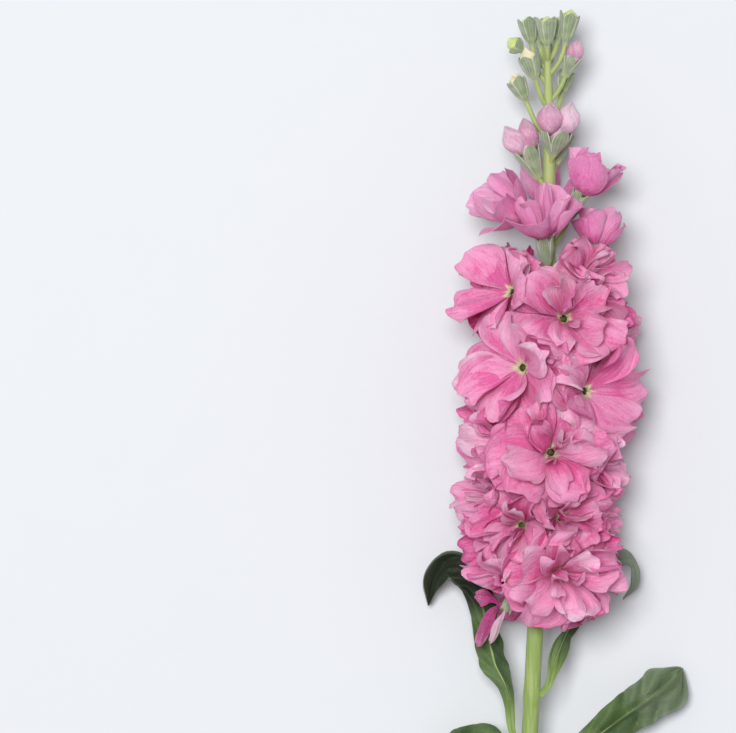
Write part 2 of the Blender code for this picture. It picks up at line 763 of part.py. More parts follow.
def make_leaf(name):
    work = bmesh.new()
    grid(work, LEAF_ACROSS, LEAF_ALONG, lambda square: leaf_points(square, name))
    made = thickened(name, work, LEAF_THICKNESS)
    made.data.materials.append(material("leaf"))
    return made


def settle(objects):
    """Parents the parts to one empty that stands them on the surface, with the origin under their middle."""
    corners = np.array([v.co for obj in objects for v in obj.data.vertices])
    low, high = corners.min(axis=0), corners.max(axis=0)
    shift = -np.array(((low[0] + high[0]) / 2, (low[1] + high[1]) / 2, low[2]))
    collection = bpy.data.collections.new("stock_flower_stem")
    bpy.context.scene.collection.children.link(collection)
    holder = bpy.data.objects.new("stock_flower_stem_holder", None)
    collection.objects.link(holder)
    holder.location = shift
    origins = {place.flower.name: Vector(place.mouth) for place in PLACES}
    for obj in objects:
        origin = origins.get(obj.name, Vector((0, 0, 0)))
        obj.data.transform(Matrix.Translation(-origin))
        obj.location = origin
        obj.parent = holder
        bpy.context.scene.collection.objects.unlink(obj)
        collection.objects.link(obj)


def main():
    clear_scene()
    parts = []
    for place in PLACES:
        if place.flower.kind in ROSETTES:
            parts.append(make_rosette(place))
        elif place.flower.kind == "bud":
            parts.append(make_bud(place))
    parts.append(make_stem())
    parts += [make_leaf(name) for name in LEAVES]
    settle(parts)


main()
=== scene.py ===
import math
from collections import namedtuple

import bmesh
import bpy
import numpy as np
from mathutils import Matrix, Vector


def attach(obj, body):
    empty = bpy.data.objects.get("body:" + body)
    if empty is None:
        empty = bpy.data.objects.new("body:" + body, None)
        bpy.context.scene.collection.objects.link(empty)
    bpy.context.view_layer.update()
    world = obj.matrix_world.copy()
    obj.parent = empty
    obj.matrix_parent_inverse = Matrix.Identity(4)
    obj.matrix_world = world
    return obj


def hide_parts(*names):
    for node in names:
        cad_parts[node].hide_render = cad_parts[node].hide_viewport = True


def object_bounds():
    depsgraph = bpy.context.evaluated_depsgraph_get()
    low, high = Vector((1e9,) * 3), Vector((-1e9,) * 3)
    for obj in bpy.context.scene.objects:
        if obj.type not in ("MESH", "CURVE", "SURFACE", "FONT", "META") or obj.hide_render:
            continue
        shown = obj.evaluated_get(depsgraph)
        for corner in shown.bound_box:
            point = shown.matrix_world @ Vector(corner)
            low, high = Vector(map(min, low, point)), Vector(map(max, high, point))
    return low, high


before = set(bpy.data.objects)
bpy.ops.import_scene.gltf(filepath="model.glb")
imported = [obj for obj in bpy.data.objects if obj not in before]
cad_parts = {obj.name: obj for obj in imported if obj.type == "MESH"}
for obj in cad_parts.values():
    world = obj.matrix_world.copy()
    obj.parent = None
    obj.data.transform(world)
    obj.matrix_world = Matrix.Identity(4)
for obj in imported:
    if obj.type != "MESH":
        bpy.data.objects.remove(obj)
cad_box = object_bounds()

MM = 0.001
GAP = 0.3 * MM  # what neighbouring bodies keep between them

# The stem's axis from the cut end to the tip: (along, across, height, radius)
STEM_KNOTS = (
    (0.0000, -0.0091, 0.0039, 0.0037),
    (0.0900, -0.0068, 0.0165, 0.0034),
    (0.1763, -0.0034, 0.0270, 0.0031),
    (0.2143, -0.0015, 0.0300, 0.0031),
    (0.2569, 0.0004, 0.0318, 0.0029),
    (0.3025, 0.0027, 0.0325, 0.0027),
    (0.3405, 0.0038, 0.0322, 0.0026),
    (0.3834, 0.0038, 0.0312, 0.0025),
    (0.4222, 0.0034, 0.0300, 0.0018),
    (0.4400, 0.0029, 0.0294, 0.0013),
)
STEM_LENGTH = 0.4400
STEM_RINGS = 17
STEM_RESOLUTION = 3

# Flowers: place along the stem, turn round it (0 faces up, 90 faces +X), reach from the axis to the face,
# tilt of the face towards the tip, length of the outer petals or half length of the bud
Flower = namedtuple("Flower", "name kind along turn reach tilt size")
FLOWERS_IN_VIEW = (
    Flower("flower_01", "open", 0.2370, 22, 0.0215, -18, 0.0235),
    Flower("flower_02", "open", 0.2300, 84, 0.0180, -14, 0.0180),
    Flower("flower_03", "open", 0.2330, -52, 0.0180, -14, 0.0180),
    Flower("flower_04", "open", 0.2450, -98, 0.0185, -4, 0.0185),
    Flower("flower_05", "open", 0.2540, 76, 0.0200, 2, 0.0190),
    Flower("flower_06", "open", 0.2550, -26, 0.0205, 0, 0.0200),
    Flower("flower_07", "open", 0.2630, -68, 0.0200, 2, 0.0200),
    Flower("flower_08", "open", 0.2830, 6, 0.0225, 0, 0.0250),
    Flower("flower_09", "open", 0.2790, 68, 0.0205, 4, 0.0205),
    Flower("flower_10", "open", 0.2860, -62, 0.0195, 2, 0.0200),
    Flower("flower_11", "open", 0.3145, -32, 0.0225, 2, 0.0245),
    Flower("flower_12", "open", 0.3065, 44, 0.0235, 2, 0.0245),
    Flower("flower_13", "open", 0.3080, -96, 0.0195, 4, 0.0200),
    Flower("flower_14", "open", 0.3440, -56, 0.0210, 14, 0.0215),
    Flower("flower_15", "open", 0.3335, 16, 0.0215, 6, 0.0245),
    Flower("flower_16", "open", 0.3300, 84, 0.0205, 6, 0.0200),
    Flower("flower_17", "open", 0.3500, 50, 0.0195, 18, 0.0195),
    Flower("flower_18", "open", 0.2590, 24, 0.0205, 2, 0.0205),
)
# The far side of the spike: three to a turn, staggered
HIDDEN_FLOWERS = 9
HIDDEN_START = 0.2330
HIDDEN_STEP = 0.0136
HIDDEN_TURNS = (180, 126, -132)
HIDDEN_REACH = 0.0200
HIDDEN_SIZE = 0.0210
FLOWERS_OPENING = (
    Flower("opening_flower_1", "opening", 0.3740, -56, 0.0165, 22, 0.0215),
    Flower("opening_flower_2", "opening", 0.3675, -10, 0.0160, 60, 0.0225),
    Flower("opening_flower_3", "opening", 0.3641, 72, 0.0198, 78, 0.0205),
    Flower("opening_flower_4", "opening", 0.3842, 64, 0.0154, 58, 0.0190),
    Flower("opening_flower_5", "opening", 0.3800, 176, 0.0195, 36, 0.0180),
    Flower("withered_flower", "withered", 0.2176, -80, 0.0143, -62, 0.0140),
)
PINK_BUDS = (
    Flower("pink_bud_1", "bud", 0.4016, -78, 0.0105, 66, 0.0062),
    Flower("pink_bud_2", "bud", 0.4092, 24, 0.0090, 68, 0.0074),
    Flower("pink_bud_3", "bud", 0.4355, 88, 0.0108, 66, 0.0046),
    Flower("pink_bud_4", "bud", 0.4060, 150, 0.0125, 60, 0.0058),
)
# How many lobes each bud's folded petals show, and the way that the first lies from its middle
BUD_LOBES = {
    "pink_bud_1": (2, 0),
    "pink_bud_2": (2, 90),
    "pink_bud_3": (1, 0),
    "pink_bud_4": (2, 30),
}
GREEN_BUDS = (
    Flower("green_bud_1", "green", 0.4388, -82, 0.0130, 40, 0.0040),
    Flower("green_bud_2", "green", 0.4305, -50, 0.0085, 70, 0.0056),
    Flower("green_bud_3", "green", 0.4222, -95, 0.0110, 66, 0.0052),
    Flower("green_bud_4", "green", 0.4446, -95, 0.0068, 80, 0.0056),
    Flower("green_bud_5", "green", 0.4440, 0, 0.0040, 86, 0.0060),
    Flower("green_bud_6", "green", 0.4450, 78, 0.0085, 78, 0.0056),
    Flower("green_bud_7", "green", 0.4450, 120, 0.0056, 80, 0.0050),
    Flower("green_bud_8", "green", 0.4440, -150, 0.0056, 80, 0.0054),
    Flower("green_bud_9", "green", 0.4350, 180, 0.0085, 70, 0.0052),
    Flower("green_bud_10", "green", 0.4250, 140, 0.0105, 66, 0.0052),
)


def hidden_flowers():
    """The flowers of the far side, by rule."""
    return tuple(
        Flower(
            f"flower_{len(FLOWERS_IN_VIEW) + k + 1}",
            "open",
            HIDDEN_START + HIDDEN_STEP * k,
            HIDDEN_TURNS[k % len(HIDDEN_TURNS)],
            HIDDEN_REACH,
            6,
            HIDDEN_SIZE,
        )
        for k in range(HIDDEN_FLOWERS)
    )


FLOWERS = FLOWERS_IN_VIEW + hidden_flowers() + FLOWERS_OPENING + PINK_BUDS + GREEN_BUDS

# A ring of petals: how many, their length and half width as shares of the flower's size, the angles from
# the flower's axis at which they start and end, how high above the calyx's mouth they stand, and how many
# rows of faces run along each
Whorl = namedtuple("Whorl", "petals length width start spread height rows")
ROSETTES = {
    "open": (
        Whorl(5, 1.0, 0.72, 56, 84, 0.9 * MM, 3),
        Whorl(3, 0.74, 0.60, 30, 46, 2.2 * MM, 2),
    ),
    "opening": (
        Whorl(5, 1.0, 0.76, 66, 22, 0.9 * MM, 3),
        Whorl(3, 0.76, 0.55, 32, 4, 2.2 * MM, 2),
    ),
    "withered": (Whorl(3, 1.0, 0.36, 16, 20, 0.9 * MM, 3),),
}
OVERLAP = 6  # degrees past its share of the ring that a petal may reach
PETAL_ACROSS = 2
PETAL_THICKNESS = 0.65 * MM
CLAW_SHARE = 0.14
WIDE_BY = 0.62  # the share of its length by which a petal is at its widest
ROUNDNESS = 0.7  # how far a petal's outer corners are drawn in
TWIST = 12  # each petal's one edge lies this many degrees above its middle, and its other edge below
RUFFLE = 6
SEED = 1700
HEART_RADIUS = 1.2 * MM
ROOT_RADIUS = 1.5 * MM
MOUTH_DEPTH = 5.0 * MM  # from the flower's face back to the calyx's mouth

# How petals keep clear of their neighbours
FOLDS = np.arange(1.0, 0.34, -0.06)
TURNS = 24
PRESSED = 0.72  # a petal folds until its space reaches this share of its length, and is drawn in beyond that
CLEAR = 0.25 * MM
SITE_STEP = 3.0 * MM
SITE_RADIUS = 2.6 * MM
REACH_OF_SITES = 0.045
FLOOR_CLEAR = 0.4 * MM

# Calyces: (distance back from the mouth, radius), by kind
CALYCES = {
    "open": ((9.0, 0.9), (5.5, 2.1), (0.0, 2.2)),
    "withered": ((7.0, 0.8), (4.5, 1.8), (0.0, 1.9)),
    "opening": ((11.0, 1.0), (8.5, 1.9), (4.0, 2.8), (0.0, 2.9)),
    "bud": ((10.0, 0.9), (8.0, 1.8), (3.5, 3.0), (0.0, 3.1)),
    "green": ((1.5, 0.9), (0.0, 1.5)),
}
PEDICEL_RADIUS = 0.85 * MM
SEPAL_RISE = 2.2 * MM
SEPAL_FLARE = 1.6 * MM

# Leaves: where each leaves the stem, then its midrib as (across, along, height, half width, roll)
LEAVES = {
    "leaf_1": (
        (0.1690, -85),
        (-0.0122, 0.1915, 0.0235, 0.0028, 20),
        (-0.0168, 0.2020, 0.0212, 0.0060, 25),
        (-0.0192, 0.2120, 0.0190, 0.0050, 20),
        (-0.0215, 0.2230, 0.0175, 0.0052, 20),
        (-0.0265, 0.2345, 0.0170, 0.0056, 0),
        (-0.0335, 0.2385, 0.0155, 0.0054, -10),
        (-0.0400, 0.2330, 0.0110, 0.0042, -10),
        (-0.0420, 0.2230, 0.0065, 0.0014, 0),
    ),
    "leaf_2": (
        (0.1895, 75),
        (0.0066, 0.2035, 0.0245, 0.0032, -20),
        (0.0110, 0.2130, 0.0205, 0.0026, -25),
        (0.0180, 0.2235, 0.0170, 0.0036, -20),
        (0.0256, 0.2345, 0.0160, 0.0040, 0),
        (0.0310, 0.2415, 0.0165, 0.0034, 30),
        (0.0362, 0.2395, 0.0160, 0.0028, 50),
        (0.0375, 0.2320, 0.0140, 0.0020, 50),
        (0.0330, 0.2255, 0.0115, 0.0008, 30),
    ),
    "leaf_3": (
        (0.1390, 80),
        (0.0060, 0.1565, 0.0205, 0.0026, 10),
        (0.0170, 0.1680, 0.0180, 0.0052, 15),
        (0.0290, 0.1775, 0.0155, 0.0070, 15),
        (0.0410, 0.1855, 0.0120, 0.0082, 10),
        (0.0505, 0.1920, 0.0085, 0.0088, 0),
        (0.0560, 0.1985, 0.0055, 0.0036, 0),
    ),
    "leaf_4": (
        (0.1270, -70),
        (-0.0122, 0.1440, 0.0240, 0.0030, 20),
        (-0.0135, 0.1580, 0.0250, 0.0054, 20),
        (-0.0160, 0.1675, 0.0235, 0.0062, 10),
        (-0.0210, 0.1715, 0.0205, 0.0064, 0),
        (-0.0290, 0.1700, 0.0150, 0.0060, -10),
        (-0.0370, 0.1630, 0.0090, 0.0046, -10),
        (-0.0420, 0.1540, 0.0040, 0.0014, 0),
    ),
    "leaf_5": (
        (0.1080, 100),
        (0.0090, 0.1220, 0.0155, 0.0044, 10),
        (0.0230, 0.1320, 0.0125, 0.0066, 10),
        (0.0390, 0.1370, 0.0085, 0.0066, 0),
        (0.0530, 0.1360, 0.0038, 0.0046, 0),
        (0.0610, 0.1320, 0.0012, 0.0014, 0),
    ),
    "leaf_6": (
        (0.0960, -110),
        (-0.0200, 0.1090, 0.0125, 0.0044, -10),
        (-0.0330, 0.1190, 0.0100, 0.0068, -10),
        (-0.0460, 0.1310, 0.0070, 0.0066, 0),
        (-0.0550, 0.1430, 0.0034, 0.0042, 0),
        (-0.0580, 0.1500, 0.0012, 0.0014, 0),
    ),
    "leaf_7": (
        (0.1130, 10),
        (-0.0030, 0.1300, 0.0330, 0.0038, 0),
        (0.0010, 0.1450, 0.0400, 0.0058, 5),
        (0.0050, 0.1590, 0.0420, 0.0056, 5),
        (0.0080, 0.1690, 0.0400, 0.0036, 0),
        (0.0095, 0.1740, 0.0380, 0.0012, 0),
    ),
}
LEAF_ACROSS = 2
LEAF_ALONG = 11
LEAF_THICKNESS = 0.8 * MM
LEAF_WAVE = 0.22
LEAF_FOLD = 0.18
LEAF_BASE_WIDTH = 1.1 * MM

COLOURS = {
    "petal": (0.73, 0.22, 0.42, 0.55),
    "bud_petal": (0.72, 0.36, 0.54, 0.55),
    "withered_petal": (0.42, 0.10, 0.24, 0.6),
    "stem": (0.28, 0.40, 0.09, 0.5),
    "leaf": (0.07, 0.14, 0.035, 0.6),
}


def smooth_through(knots, at):
    """The knots' columns at a place along the first, on a smooth curve through them."""
    knots = np.asarray(knots, float)
    x = knots[:, 0]
    slopes = np.gradient(knots[:, 1:], x, axis=0)
    k = int(np.clip(np.searchsorted(x, at) - 1, 0, len(x) - 2))
    width = x[k + 1] - x[k]
    t = np.clip((at - x[k]) / width, 0, 1)
    return (
        (2 * t**3 - 3 * t**2 + 1) * knots[k, 1:]
        + (t**3 - 2 * t**2 + t) * width * slopes[k]
        + (3 * t**2 - 2 * t**3) * knots[k + 1, 1:]
        + (t**3 - t**2) * width * slopes[k + 1]
    )


def axis_point(along):
    across, height, _ = smooth_through(STEM_KNOTS, along)
    return np.array((across, along, height))


def stem_radius(along):
    return smooth_through(STEM_KNOTS, along)[2]


def unit(vector):
    return vector / np.linalg.norm(vector)


def stem_frame(along):
    """(tangent, up, right) of the stem's axis at this place."""
    step = 1 * MM
    tangent = unit(axis_point(along + step) - axis_point(along - step))
    right = unit(np.cross(tangent, (0, 0, 1)))
    return tangent, np.cross(right, tangent), right


def outward_at(along, turn):
    _, up, right = stem_frame(along)
    return math.cos(math.radians(turn)) * up + math.sin(math.radians(turn)) * right


class Place:
    """Where a flower stands: its face's centre, its calyx's mouth, and the way that it faces."""

    def __init__(self, flower):
        along = min(flower.along, STEM_LENGTH - 2 * MM)
        self.flower = flower
        self.tangent = stem_frame(along)[0]
        self.outward = outward_at(along, flower.turn)
        tilt = math.radians(flower.tilt)
        self.facing = math.cos(tilt) * self.outward + math.sin(tilt) * self.tangent
        self.axis = axis_point(along) + (flower.along - along) * self.tangent
        self.face = self.axis + flower.reach * self.outward
        depth = flower.size if flower.kind in ("bud", "green") else MOUTH_DEPTH
        self.mouth = self.face - depth * self.facing
        self.heart = self.mouth + 1.2 * MM * self.facing
        self.tipward = unit(self.tangent - (self.tangent @ self.facing) * self.facing)
        self.aside = np.cross(self.facing, self.tipward)

    def pedicel(self, count):
        """Points from the stem's axis to the calyx's mouth, on one smooth curve."""
        reach = (self.mouth - self.axis) @ self.outward
        beyond = (self.mouth - self.axis) @ self.tangent
        drop = reach * (0.35 + 1.5 * max(0.0, math.sin(math.radians(self.flower.tilt))))
        drop = max(drop, 5 * MM) if self.flower.kind == "green" else drop
        start = axis_point(min(self.flower.along + beyond - drop, STEM_LENGTH - 4 * MM))
        span = np.linalg.norm(self.mouth - start)
        leave = unit(self.outward + 0.9 * self.tangent) * 0.4 * span
        arrive = self.mouth - self.facing * 0.45 * span
        t = np.linspace(0, 1, count)[:, None]
        return (
            (1 - t) ** 3 * start
            + 3 * (1 - t) ** 2 * t * (start + leave)
            + 3 * (1 - t) * t**2 * arrive
            + t**3 * self.mouth
        )


PLACES = [Place(flower) for flower in FLOWERS]


def leaf_base(along, turn):
    """The leaf's first two points: against the stem, then a little way out."""
    outward = outward_at(along, turn)
    tangent = stem_frame(along)[0]
    lean = abs(math.sin(math.radians(turn)))
    first = axis_point(along) + (stem_radius(along) + GAP + (0.45 + 0.6 * lean) * MM) * outward
    return first, first + 5 * MM * unit((0.3 + 0.4 * (1 - lean)) * outward + 0.8 * tangent)


def leaf_knots(name):
    """Rows of (run, across, along, height, half width, roll), where run is a share of the leaf's length."""
    (along, turn), *rows = LEAVES[name]
    first, second = leaf_base(along, turn)
    rows = [(*first, LEAF_BASE_WIDTH, 0), (*second, 1.2 * LEAF_BASE_WIDTH, rows[0][4]), *rows]
    points = np.array(rows, float)
    steps = np.linalg.norm(np.diff(points[:, :3], axis=0), axis=1)
    run = np.concatenate(([0], np.cumsum(steps)))
    return np.column_stack((run / run[-1], points))


def leaf_sites():
    """Points on the leaves where flowers are near."""
    sites = []
    for name in ("leaf_1", "leaf_2"):
        knots = leaf_knots(name)
        for run in np.linspace(0.1, 1, 16):
            point = smooth_through(knots, run)[:3]
            if point[1] > 0.205:
                sites.append(point)
    return sites


LEAF_SITES = leaf_sites()


def cell_planes(place):
    """(normals, offsets) of the planes round a flower's own space: inside is normal . x > offset."""
    planes = [
        (place.facing, place.facing @ place.mouth + GAP),
        (place.outward, place.outward @ place.axis + stem_radius(place.flower.along) + 2 * MM),
        (np.array((0.0, 0.0, 1.0)), FLOOR_CLEAR),
    ]
    size = place.flower.size
    sites = [(point, 0) for point in LEAF_SITES]
    for other in PLACES:
        if other is place:
            continue
        length = np.linalg.norm(np.diff(other.pedicel(12), axis=0), axis=1).sum()
        if other.flower.kind != "green":
            sites.append((other.face, max(other.flower.size, 6 * MM)))
        sites += [(point, 0) for point in other.pedicel(max(3, int(length / SITE_STEP)))]
    for site, radius in sites:
        away = place.face - site
        distance = np.linalg.norm(away)
        if distance > REACH_OF_SITES:
            continue
        if radius:
            share = distance / 2 + (size**2 - radius**2) / (2 * distance)
            share = min(max(share, 0.25 * distance), 0.75 * distance)
        else:
            share = distance - SITE_RADIUS
        normal = away / distance
        planes.append((normal, normal @ (place.face - share * normal)))
    normals, offsets = zip(*planes)
    return np.array(normals), np.array(offsets)


class Room:
    """The space round a flower's heart, and how far its petals fold in each direction to stay in it."""

    def __init__(self, place, ease=0.0, top=None, trim=None):
        self.place = place
        self.normals, self.offsets = cell_planes(place)
        self.depth = np.maximum(self.normals @ place.heart - self.offsets - CLEAR, 0.2 * MM)
        self.depth[3:] += ease
        if top is not None:
            self.normals = np.vstack((self.normals, (0.0, 0.0, -1.0)))
            self.depth = np.append(self.depth, max(top - place.heart[2], 0.2 * MM))
        if trim is not None:
            self.normals = np.vstack((self.normals, -unit(np.array(trim[0]))))
            self.depth = np.append(self.depth, trim[1])
        outer = ROSETTES[place.flower.kind][0]
        run = np.linspace(0.15, 1, 8)
        folds = []
        for turn in np.radians(np.arange(TURNS) * 360 / TURNS):
            best = (-1.0, 0.4)
            for fold in FOLDS:
                flat, even = np.zeros(8), np.ones(8)
                points = whorl_points(place, outer, run, np.full(8, turn), np.full(8, fold), flat, even)
                share = self.share(points).min()
                if share > best[0] + 0.02:
                    best = (share, fold)
                if share > PRESSED:
                    break
            folds.append(best[1])
        folds = np.array(folds)
        folds = np.minimum(folds, (np.roll(folds, 1) + folds + np.roll(folds, -1)) / 3 + 0.06)
        self.folds = (np.roll(folds, 1) + 2 * folds + np.roll(folds, -1)) / 4

    def fold_at(self, turn):
        place = (np.degrees(turn) % 360) * TURNS / 360
        low = place.astype(int) % TURNS
        high = (low + 1) % TURNS
        return self.folds[low] + (place - place.astype(int)) * (self.folds[high] - self.folds[low])

    def share(self, points):
        """How many times as far as each point the space reaches in its direction from the heart."""
        falls = -(points - self.place.heart) @ self.normals.T
        limits = np.where(falls > 0, self.depth / np.maximum(falls, 1e-9), 1e9)
        return limits.min(axis=1)

    def hold(self, points):
        """Draws points towards the heart so that they stay in the space, the far ones more."""
        over = 1 / self.share(points)
        return self.place.heart + (points - self.place.heart) / (1 + over**5)[:, None] ** 0.2


def whorl_points(place, whorl, run, turn, fold, lift, scale):
    """Points at this run along the petals of a whorl, in the directions turn round the flower's axis."""
    length = whorl.length * place.flower.size * scale
    steps = (np.arange(12) + 0.5) / 12
    inner = run[:, None] * steps
    opened = np.clip(inner / 0.5, 0, 1)
    angle = whorl.start + (whorl.spread - whorl.start) * opened * opened * (3 - 2 * opened)
    angle = np.radians(angle * fold[:, None] + (lift * run)[:, None])
    out = ROOT_RADIUS + length * run * np.sin(angle).mean(axis=1)
    up = whorl.height + length * run * np.cos(angle).mean(axis=1)
    away = np.cos(turn)[:, None] * place.tipward + np.sin(turn)[:, None] * place.aside
    return place.mouth + out[:, None] * away + up[:, None] * place.facing

# What follows dresses the frame: fine petals, calyces, buds, leaves and stem, in the part's own places.

SHIFT = np.array((-0.00117, -0.22560, -0.00042))  # from the source's frame to the row's frame
CEILING = cad_box[1][2] - SHIFT[2] + 1.0 * MM

Layer = namedtuple("Layer", "petals length width start spread height wave cup curl lean")
BLOOMS = {
    "full": (
        Layer(5, 1.18, 0.74, 60, 97, 0.5 * MM, 16, 0, 8, 6),
        Layer(5, 1.14, 0.68, 54, 78, 1.0 * MM, 28, 12, 22, 20),
        Layer(4, 1.02, 0.72, 40, 62, 1.4 * MM, 38, 20, 24, 22),
        Layer(3, 0.88, 0.72, 28, 42, 1.9 * MM, 40, 24, 22, 20),
        Layer(2, 0.68, 0.62, 10, 14, 2.4 * MM, 30, 26, 26, 8),
    ),
    "eyed": (
        Layer(5, 1.18, 0.70, 60, 98, 0.5 * MM, 14, 0, 8, 6),
        Layer(5, 1.16, 0.60, 54, 79, 1.0 * MM, 26, 12, 22, 20),
        Layer(4, 1.06, 0.52, 46, 70, 1.4 * MM, 32, 18, 24, 26),
    ),
    "opening": (
        Layer(3, 1.08, 1.20, 66, 28, 0.9 * MM, 10, -8, 12, 8),
        Layer(3, 1.02, 0.92, 52, 16, 1.4 * MM, 13, -4, 12, 8),
        Layer(2, 0.86, 0.66, 36, 6, 2.0 * MM, 16, 4, 10, 6),
    ),
}
OPENED = {"opening_flower_2": 1.35, "opening_flower_3": 1.5, "opening_flower_4": 1.15}  # times the layers' spread
STARTS = {"opening_flower_3": 45}  # degrees that the first petal is turned
EYED = ("flower_11", "flower_12", "flower_14")
HIDDEN = tuple(flower.name for flower in hidden_flowers())
EASE = {"open": 4.5 * MM, "opening": 2.5 * MM}
# Where a flower stops short of its room: the way out of its heart, and how far
TRIMS = {
    "flower_03": ((-0.35, -0.94, 0.0), 6.0 * MM),
    "flower_04": ((-0.35, -0.94, 0.0), 13.0 * MM),
    "flower_01": ((0.08, -1.0, 0.0), 22.5 * MM),
    "flower_02": ((0.30, -0.95, 0.0), 14.5 * MM),
    "flower_19": ((0.0, -1.0, 0.0), 17.0 * MM),
    "flower_20": ((0.30, -0.95, 0.0), 22.0 * MM),
    "opening_flower_3": ((0.95, 0.30, 0.0), 12.5 * MM),
}
FINE_GRID = (16, 18)
PLAIN_GRID = (10, 12)
PETAL_SKIN = 0.18 * MM
FINE_ROUNDNESS = 0.70
RIM_SCALLOP = 0.042


def row_frame(points):
    return np.asarray(points) + SHIFT


def smooth_step(low, high, values):
    t = np.clip((values - low) / (high - low), 0, 1)
    return t * t * (3 - 2 * t)


class Sheets:
    """Grids of points gathered into one mesh, with two UV maps: place on the sheet, and the sheet's own draw."""

    def __init__(self):
        self.points = []
        self.faces = []
        self.places = []
        self.draws = []
        self.slots = []
        self.count = 0

    def add(self, points, columns, rows, draw, slot=0, closed=False, starts=None, step=0.0):
        """points: (rows + 1) x columns if closed, or x (columns + 1), row by row; starts: each cell's own u."""
        wide = columns if closed else columns + 1
        self.points.append(points)
        u = np.linspace(0, 1, columns + 1)
        v = np.linspace(0, 1, rows + 1)
        for j in range(rows):
            for i in range(columns):
                a = self.count + j * wide + i
                b = self.count + j * wide + (i + 1) % wide
                self.faces.append((a, b, b + wide, a + wide))
                left = u[i] if starts is None else starts[j][i]
                right = u[i + 1] if starts is None else left + step
                self.places += [(left, v[j]), (right, v[j]), (right, v[j + 1]), (left, v[j + 1])]
                self.draws += [draw] * 4
                self.slots.append(slot)
        self.count += len(points)

    def cap(self, start, wide, flip, draw, slot=0):
        """Closes a ring that starts at this point of the last sheet."""
        ring = [self.count - start + k for k in range(wide)]
        self.faces.append(tuple(ring[::-1] if flip else ring))
        self.places += [(0.5, 0.5)] * wide
        self.draws += [draw] * wide
        self.slots.append(slot)

    def piece(self, name, materials, skin=0.0, replaces=()):
        mesh = bpy.data.meshes.new(name)
        points = row_frame(np.concatenate(self.points))
        points[:, 2] = np.maximum(points[:, 2], 0.6 * skin + 0.02 * MM)
        mesh.from_pydata(points.tolist(), [], self.faces)
        for title, values in (("place", self.places), ("draw", self.draws)):
            layer = mesh.uv_layers.new(name=title)
            layer.data.foreach_set("uv", np.asarray(values, float).ravel())
        for made in materials:
            mesh.materials.append(made)
        mesh.polygons.foreach_set("material_index", self.slots)
        mesh.polygons.foreach_set("use_smooth", [True] * len(mesh.polygons))
        obj = bpy.data.objects.new(name, mesh)
        bpy.context.scene.collection.objects.link(obj)
        if skin:
            solid = obj.modifiers.new("skin", "SOLIDIFY")
            solid.thickness = skin
            solid.offset = 0
            solid.material_offset = len(materials) - 1
            bpy.context.view_layer.update()
            graph = bpy.context.evaluated_depsgraph_get()
            thick = bpy.data.meshes.new_from_object(obj.evaluated_get(graph))
            obj.modifiers.clear()
            obj.data = thick
            thick.set_sharp_from_angle(angle=math.radians(55))
            bpy.data.meshes.remove(mesh)
            thick.name = name
        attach(obj, "root")
        if replaces:
            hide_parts(*replaces)
        return obj


def fine_petal(room, layer, middle, draw, columns, rows):
    """A petal's points, row by row from its claw to its rim."""
    across, along = np.meshgrid(np.linspace(-1, 1, columns + 1), np.linspace(-1, 1, rows + 1))
    across, along = across.ravel(), along.ravel()
    roundness = 1.0 if room.place.flower.kind == "opening" else FINE_ROUNDNESS
    round_off = roundness * smooth_step(-0.3, 0.6, along)
    x = across * (1 - round_off * (1 - np.sqrt(1 - along**2 / 2)))
    y = along * (1 - round_off * (1 - np.sqrt(1 - across**2 / 2)))
    run = (y + 1) / 2
    scallop = np.sin(draw["scallop"] * across + draw["phase3"]) + 0.5 * np.sin(2.7 * draw["scallop"] * across)
    notch = -0.9 * draw["notch"] * np.exp(-((across / 0.16) ** 2))
    run = run * (1 + RIM_SCALLOP * (scallop + notch) * smooth_step(0.5, 1, run))
    widen = np.clip(run / WIDE_BY, 0, 1)
    taper = CLAW_SHARE + (1 - CLAW_SHARE) * widen * widen * (3 - 2 * widen)
    half = draw["width"] * layer.width * layer.length * x * taper
    sector = math.pi / layer.petals + math.radians(draw["overlap"])
    sector = min(sector, math.radians(62))
    turn = np.arctan2(half, ROOT_RADIUS / room.place.flower.size + layer.length * run)
    turn = middle + sector * np.tanh(turn / sector) + draw["swirl"] * run**2
    fold = room.fold_at(turn)[:, None]
    steps = (np.arange(14) + 0.5) / 14
    s = run[:, None] * steps
    fan = x[:, None]
    spread = layer.spread * OPENED.get(room.place.flower.name, 1.0)
    angle = layer.start + (spread + draw["lean"] * layer.lean - layer.start) * smooth_step(0, 0.55, s)
    angle = angle - (TWIST + draw["roll"]) * fan * s
    angle = angle + layer.wave * s**1.4 * (
        0.7 * np.sin(math.pi * (draw["waves"] * fan + draw["phase"] + 0.9 * s))
        + 0.4 * np.sin(math.pi * (draw["waves2"] * fan + draw["phase2"] - 0.6 * s))
    )
    angle = angle + 0.5 * layer.wave * s**4 * np.sin(math.pi * (2.9 * fan + draw["phase3"]))
    angle = angle + draw["cup"] * layer.cup * (fan**2 - 0.3) * s
    bend = np.abs(fan - draw["crease_at"])
    angle = angle - 34 * draw["crease"] * (np.sqrt(bend**2 + 0.006) - 0.4) * s
    flap = smooth_step(0.15, 1.0, fan * draw["flap_side"])
    angle = angle - max(draw["flap"], 0) ** 2 * 1.9 * layer.wave * flap * s
    reflex = smooth_step(0.62, 1.0, s) * (1 + 0.7 * np.sin(math.pi * (1.2 * fan + draw["phase"])))
    angle = angle + draw["curl"] * layer.curl * reflex
    angle = np.radians(np.maximum(angle, 1.0) * fold)
    length = layer.length * room.place.flower.size * draw["length"]
    out = ROOT_RADIUS + length * run * np.sin(angle).mean(axis=1)
    up = layer.height + length * run * np.cos(angle).mean(axis=1)
    away = np.cos(turn)[:, None] * room.place.tipward + np.sin(turn)[:, None] * room.place.aside
    return room.hold(room.place.mouth + out[:, None] * away + up[:, None] * room.place.facing)


